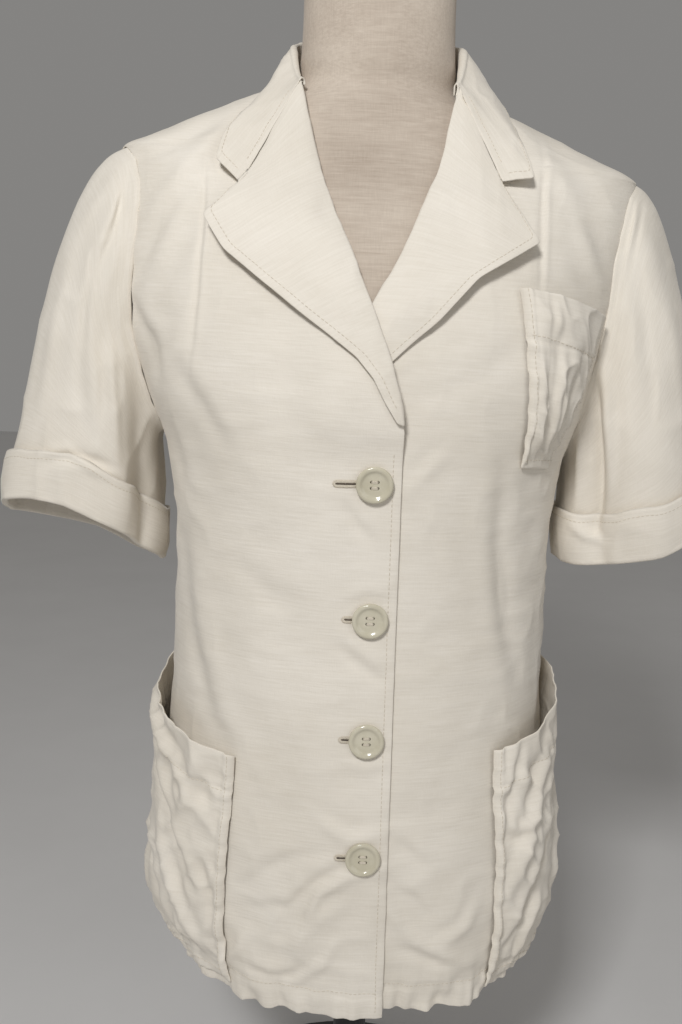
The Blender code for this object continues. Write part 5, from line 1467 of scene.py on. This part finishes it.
@dataclass
class Pocket:
    """A patch pocket, puckered on the body."""

    finishes: Finishes
    seamstress: Seamstress
    name: str
    patch: Patch
    creases: tuple[Crease, ...]
    size: tuple[float, float]
    band: float
    lip: float
    columns: int = 96
    rows: int = 110

    def place(self, across: np.ndarray, down: np.ndarray) -> tuple[np.ndarray, np.ndarray]:
        """Turn and height of a place on the pocket."""
        front_top, front_bottom, back_top, back_bottom = (np.array(corner) for corner in self.patch[:4])
        top = front_top + (back_top - front_top) * across[..., None]
        low = front_bottom + (back_bottom - front_bottom) * across[..., None]
        mixed = top + (low - top) * down[..., None]
        return mixed[..., 0], mixed[..., 1]

    def rise(self, across: np.ndarray, down: np.ndarray) -> np.ndarray:
        """How far the pocket stands off the body."""
        swell = np.minimum(1.0, 1.7 * np.sin(np.pi * across) ** 0.8)
        swell = swell * (1.0 - 0.45 * ease((across - 0.45) / 0.40))
        depth = self.patch.gape + (self.patch.bottom_gape - self.patch.gape) * down
        return swell * depth * np.minimum(1.0, (1.0 - down) * 5.0)

    def surface(self, across: np.ndarray, down: np.ndarray) -> np.ndarray:
        """Outer points of the pocket."""
        across, down = np.broadcast_arrays(across, down)
        turn, z = self.place(across, down)
        lift = POCKET_GAP + WALL + self.rise(across, down)
        points = FORM.bare(turn, z) + 20.0
        edge = np.minimum(np.minimum(across, 1.0 - across) / 0.10, (1.0 - down) / 0.12)
        inner = 0.25 + 0.75 * ease(edge)
        lift = lift + POCKET_CREASE_GAIN * crease_height(across, down, self.creases, self.size) * inner
        lift = lift + 0.0013 * GRAIN(points, (0.026, 0.026, 0.034)) * inner
        slant = points + np.stack([points[..., 2], points[..., 2], -points[..., 0]], axis=-1) * 0.4
        lift = lift + 0.0017 * GRAIN.ridged(slant, (0.014, 0.014, 0.030)) * inner
        along = np.stack([down * self.size[1], across * 0.02, across * 0.0], axis=-1)
        pucker = GRAIN(along, 0.0070) * np.exp(-((across * self.size[0] / 0.012) ** 2))
        lift = lift + 0.0012 * pucker
        strip = np.exp(-(((across * self.size[0] - 0.0035) / 0.0030) ** 4))
        lift = lift + self.lip * strip * (0.75 + 0.25 * GRAIN(along, 0.012)) * ease((1.0 - down) / 0.06)
        lift = lift - 0.0007 * np.exp(-(((down * self.size[1] - self.band) / 0.0016) ** 2))
        return FORM.surface(turn, z, np.maximum(lift, POCKET_GAP + CLOTH_WALL))

    def build(self) -> None:
        """Make the pocket."""
        across = np.linspace(0.0, 1.0, self.columns)[None, :]
        down = np.linspace(1.0, 0.0, self.rows)[:, None]
        grid = self.surface(across, down)
        grid = grid if self.patch.back_top[0] > 0 else grid[:, ::-1]
        mesh = cloth_mesh(self.name, grid, CLOTH_WALL)
        piece = dress(f"{self.name}_cloth", mesh, self.finishes.linen)
        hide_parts(self.name)
        declare_sheet(piece)
        runs = [inside_edge(grid, POCKET_SEAM, edge)[4:-1] for edge in ("first column", "last column")]
        runs.append(inside_edge(grid, POCKET_SEAM, "first row")[4:-4])
        runs.append(inside_edge(grid, self.band, "last row")[4:-4])
        self.seamstress.topstitch(f"{self.name}_stitches", runs)


@dataclass
class Fastenings:
    """The four buttons, sewn on with bars of thread, and their buttonholes."""

    finishes: Finishes
    seamstress: Seamstress
    hole_ends: tuple[float, ...] = (-0.0225, -0.0142, -0.0142, -0.0150)
    radius: float = 0.0127
    thickness: float = 0.0040
    hole: float = 0.0011
    spacing: float = 0.0042

    def profile(self) -> list[tuple[float, float]]:
        """Outline of a button from its foot over the rim to the sunk middle."""
        half = self.thickness / 2.0
        r = self.radius
        return [(0.0, -half), (r * 0.70, -half), (r * 0.80, -half * 0.9), (r * 0.96, -half * 0.3),
                (r, half * 0.1),
                (r * 0.995, half * 0.45), (r * 0.965, half * 0.78), (r * 0.91, half * 0.97), (r * 0.85, half),
                (r * 0.79, half * 0.92), (r * 0.73, half * 0.68), (r * 0.67, half * 0.40),
                (r * 0.60, half * 0.24),
                (r * 0.45, half * 0.17), (0.0, half * 0.15)]

    def blank(self) -> bpy.types.Mesh:
        """One button at the origin, with its holes cut."""
        build = bmesh.new()
        outline = self.profile()
        verts = [build.verts.new((radius, 0.0, z)) for radius, z in outline]
        edges = [build.edges.new(pair) for pair in zip(verts, verts[1:])]
        bmesh.ops.spin(build, geom=verts + edges, cent=(0, 0, 0), axis=(0, 0, 1), angle=2 * math.pi, steps=72)
        bmesh.ops.remove_doubles(build, verts=build.verts, dist=1e-6)
        bmesh.ops.recalc_face_normals(build, faces=build.faces)
        mesh = bpy.data.meshes.new("button_blank")
        build.to_mesh(mesh)
        build.free()
        disc = bpy.data.objects.new("button_blank", mesh)
        cutters = bmesh.new()
        reach = self.spacing / math.sqrt(2.0)
        for corner in range(4):
            a = math.radians(45.0 + 90.0 * corner)
            place = Matrix.Translation((reach * math.cos(a), reach * math.sin(a), 0.0))
            bmesh.ops.create_cone(cutters, cap_ends=True, segments=20, radius1=self.hole, radius2=self.hole,
                                  depth=self.thickness * 3.0, matrix=place)
        cutter_mesh = bpy.data.meshes.new("button_cutters")
        cutters.to_mesh(cutter_mesh)
        cutters.free()
        cutter = bpy.data.objects.new("button_cutters", cutter_mesh)
        for thing in (disc, cutter):
            bpy.context.scene.collection.objects.link(thing)
        cut = disc.modifiers.new("holes", "BOOLEAN")
        cut.operation, cut.solver, cut.object = "DIFFERENCE", "EXACT", cutter
        depsgraph = bpy.context.evaluated_depsgraph_get()
        result = bpy.data.meshes.new_from_object(disc.evaluated_get(depsgraph))
        for thing in (disc, cutter):
            bpy.data.objects.remove(thing, do_unlink=True)
        return result

    def build(self) -> None:
        """Make the buttons on the right front."""
        blank = self.blank()
        for number, z in enumerate(BUTTON_HEIGHTS, start=1):
            turn, level = FORM.front_place(BUTTON_X, z)
            lift = overlap_lift(np.array(BUTTON_X), level) + self.thickness / 2.0 + 0.0004
            point = FORM.surface(turn, level, lift)
            out = Vector(FORM.normal(turn, level))
            mesh = blank.copy()
            mesh.transform(aimed(Vector(point), out, "Z"))
            piece = dress(f"button_{number}_disc", mesh, self.finishes.button)
            mesh.set_sharp_from_angle(angle=math.radians(50.0))
            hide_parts(f"button_{number}")
            self.sew_on(number, point, np.array(out))
            self.buttonhole(number, z)

    def sew_on(self, number: int, centre: np.ndarray, out: np.ndarray) -> None:
        """Lay the two bars of thread between a button's holes."""
        across = unit(np.cross(np.array([0.0, 0.0, 1.0]), out))
        upward = np.cross(out, across)
        reach = self.spacing / 2.0
        face = centre + out * (self.thickness * 0.5 * 0.15 + 0.0002)
        runs = [(face + upward * (side * reach) + upward * np.array([[-0.0006], [0.0], [0.0006]]), across)
                for side in (-1.0, 1.0)]
        self.seamstress.sew(f"button_{number}_thread", runs, 0.0004, self.spacing + 0.0012, 0.0007,
                            self.finishes.thread, 0.03)

    def buttonhole(self, number: int, z: float) -> None:
        """Sew the rim of a buttonhole round its cut, drawn as a dark run of painted shade."""
        start, end = BUTTON_X, self.hole_ends[number - 1]
        half = 0.0016
        arc = np.radians(np.linspace(90.0, 270.0, 9))
        run = np.linspace(start, end, 24)
        x = np.concatenate([run, end + half * np.cos(arc), np.linspace(end, start, 24)])
        rise = np.concatenate([np.full(24, half), half * np.sin(arc), np.full(24, -half)])
        toward = np.stack([np.concatenate([np.zeros(24), np.cos(arc), np.zeros(24)]), np.zeros_like(x),
                           np.concatenate([np.ones(24), np.sin(arc), -np.ones(24)])], axis=-1)
        rim = self.on_front(x, z + rise, 0.0003)
        self.seamstress.sew(f"buttonhole_{number}_rim", [(rim, toward)], 0.00065, 0.0024, 0.00080,
                            self.finishes.thread, 0.10)
        # The buttonhole's cut is drawn as a near-black run of thread: painted shade where the gap lies
        slit_shade = self.on_front(np.linspace(start, end + 0.0004, 30), np.full(30, z), 0.0002)
        self.seamstress.sew(f"buttonhole_{number}_slit", [(slit_shade, None)], 0.0006, 0.0022, 0.0011,
                            self.finishes.slit_shade, 0.0)

    def on_front(self, x: np.ndarray, z: np.ndarray, lift: float) -> np.ndarray:
        """Points on the right front at places across and up."""
        turn, level = FORM.front_place(x, z)
        return FORM.surface(turn, level, overlap_lift(x, level) + lift)


@dataclass
class FormAndStand:
    """The dress form's linen body, and the stand's finish."""

    finishes: Finishes
    sides: int = 160

    def build(self) -> None:
        """Make the form, and give the stand's nodes their paint."""
        heights = np.concatenate([np.linspace(FORM_BOTTOM_Z, 0.86, 90, endpoint=False),
                                  np.linspace(0.86, NECK_TOP_Z - 0.004, 60)])
        turns = np.linspace(0.0, 360.0, self.sides, endpoint=False)
        grid = FORM.bare(turns[None, :], heights[:, None])
        inset = 0.0048 + 0.022 * (1.0 - ease((heights - 0.480) / 0.120))
        inset = inset * (1.0 - ease((heights - NECKLINE_Z + 0.004) / 0.02))
        grid = grid - grid_normals(grid, True) * inset[:, None, None]
        grid[0, :, 2] = FORM_BOTTOM_Z
        top = grid[-1]
        middle = top.mean(axis=0)
        caps = [middle + (top - middle) * share + np.array([0.0, 0.0, rise])
                for share, rise in ((0.985, 0.0020), (0.955, 0.0034), (0.90, 0.0040), (0.5, 0.0040))]
        grid = np.concatenate([grid, np.stack(caps)])
        rows = len(grid)
        mesh = bpy.data.meshes.new("form_body")
        i, j = (a.ravel() for a in np.meshgrid(np.arange(rows - 1), np.arange(self.sides), indexing="ij"))
        k = (j + 1) % self.sides
        quads = np.stack([i * self.sides + j, i * self.sides + k, (i + 1) * self.sides + k,
                          (i + 1) * self.sides + j], axis=1).tolist()
        quads.append(list(range(self.sides))[::-1])
        quads.append(list(range((rows - 1) * self.sides, rows * self.sides)))
        mesh.from_pydata(grid.reshape(-1, 3).tolist(), [], quads)
        piece = dress("form_body", mesh, self.finishes.form)
        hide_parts("dress_form")
        for name in ("stand_base", "stand_pole"):
            node = bpy.data.objects[name]
            node.data.materials.clear()
            node.data.materials.append(self.finishes.metal)


@dataclass
class Studio:
    """Floor, light and camera."""

    finishes: Finishes
    camera_place: tuple[float, float, float] = (-0.019, -0.808, 0.714)
    pitch: float = 10.0
    roll: float = 1.5

    def lamp(self, name: str, place: tuple, aim: tuple, size: tuple[float, float], power: float) -> None:
        """Add one soft lamp."""
        light = bpy.data.lights.new(name, "AREA")
        light.shape, light.size, light.size_y = "RECTANGLE", size[0], size[1]
        light.energy = power
        thing = bpy.data.objects.new(name, light)
        direction = Vector(aim) - Vector(place)
        thing.matrix_world = aimed(place, direction, "-Z")
        bpy.context.scene.collection.objects.link(thing)

    def build(self) -> None:
        """Make the floor, the lamps, the world and the camera."""
        mesh = bpy.data.meshes.new("studio_floor")
        build = bmesh.new()
        bmesh.ops.create_grid(build, x_segments=24, y_segments=24, size=6.0)
        build.to_mesh(mesh)
        build.free()
        mesh.materials.append(self.finishes.floor)
        floor = bpy.data.objects.new("studio_floor", mesh)
        bpy.context.scene.collection.objects.link(floor)
        self.lamp("key_light", (-0.42, -1.55, 1.72), (0.0, 0.0, 0.72), (0.34, 0.34), 24.5)
        self.lamp("fill_light", (1.30, -1.60, 0.90), (0.0, 0.0, 0.55), (1.2, 1.2), 4.0)
        world = bpy.data.worlds.new("studio_world")
        bpy.context.scene.world = world
        world.use_nodes = True
        world.node_tree.nodes["Background"].inputs["Color"].default_value = (0.97, 0.95, 0.92, 1.0)
        world.node_tree.nodes["Background"].inputs["Strength"].default_value = 0.24
        lens = bpy.data.cameras.new("portrait_camera")
        lens.lens, lens.sensor_fit, lens.sensor_height, lens.clip_start = 36.0, "VERTICAL", 36.0, 0.01
        lens.sensor_width = 36.0
        camera = bpy.data.objects.new("portrait_camera", lens)
        camera.matrix_world = (Matrix.Translation(self.camera_place)
                               @ Matrix.Rotation(math.radians(90.0 - self.pitch), 4, "X")
                               @ Matrix.Rotation(math.radians(self.roll), 4, "Z"))
        bpy.context.scene.collection.objects.link(camera)
        bpy.context.scene.camera = camera
        bpy.context.scene.view_settings.view_transform = "Standard"


def main() -> None:
    """Build every piece in order."""
    logging.basicConfig(level=logging.INFO, format="%(message)s")
    finishes = Finishes()
    Studio(finishes).build()
    FormAndStand(finishes).build()
    seamstress = Seamstress(finishes)
    Panels(finishes, seamstress).build()
    CollarAndLapels(finishes, seamstress).build()
    for side in Side:
        Sleeve(finishes, seamstress, side).build()
    for pocket in (
        Pocket(finishes, seamstress, "hip_pocket_right", HIP_POCKET_RIGHT, HIP_RIGHT_CREASES,
               size=(0.165, 0.200), band=0.030, lip=0.0032),
        Pocket(finishes, seamstress, "hip_pocket_left", HIP_POCKET_LEFT, HIP_LEFT_CREASES,
               size=(0.150, 0.205), band=0.030, lip=0.0032),
        Pocket(finishes, seamstress, "chest_pocket", CHEST_POCKET, CHEST_CREASES,
               size=(0.100, 0.118), band=0.031, lip=0.0022),
    ):
        pocket.build()
    Fastenings(finishes, seamstress).build()


if __name__ == "__main__":
    main()
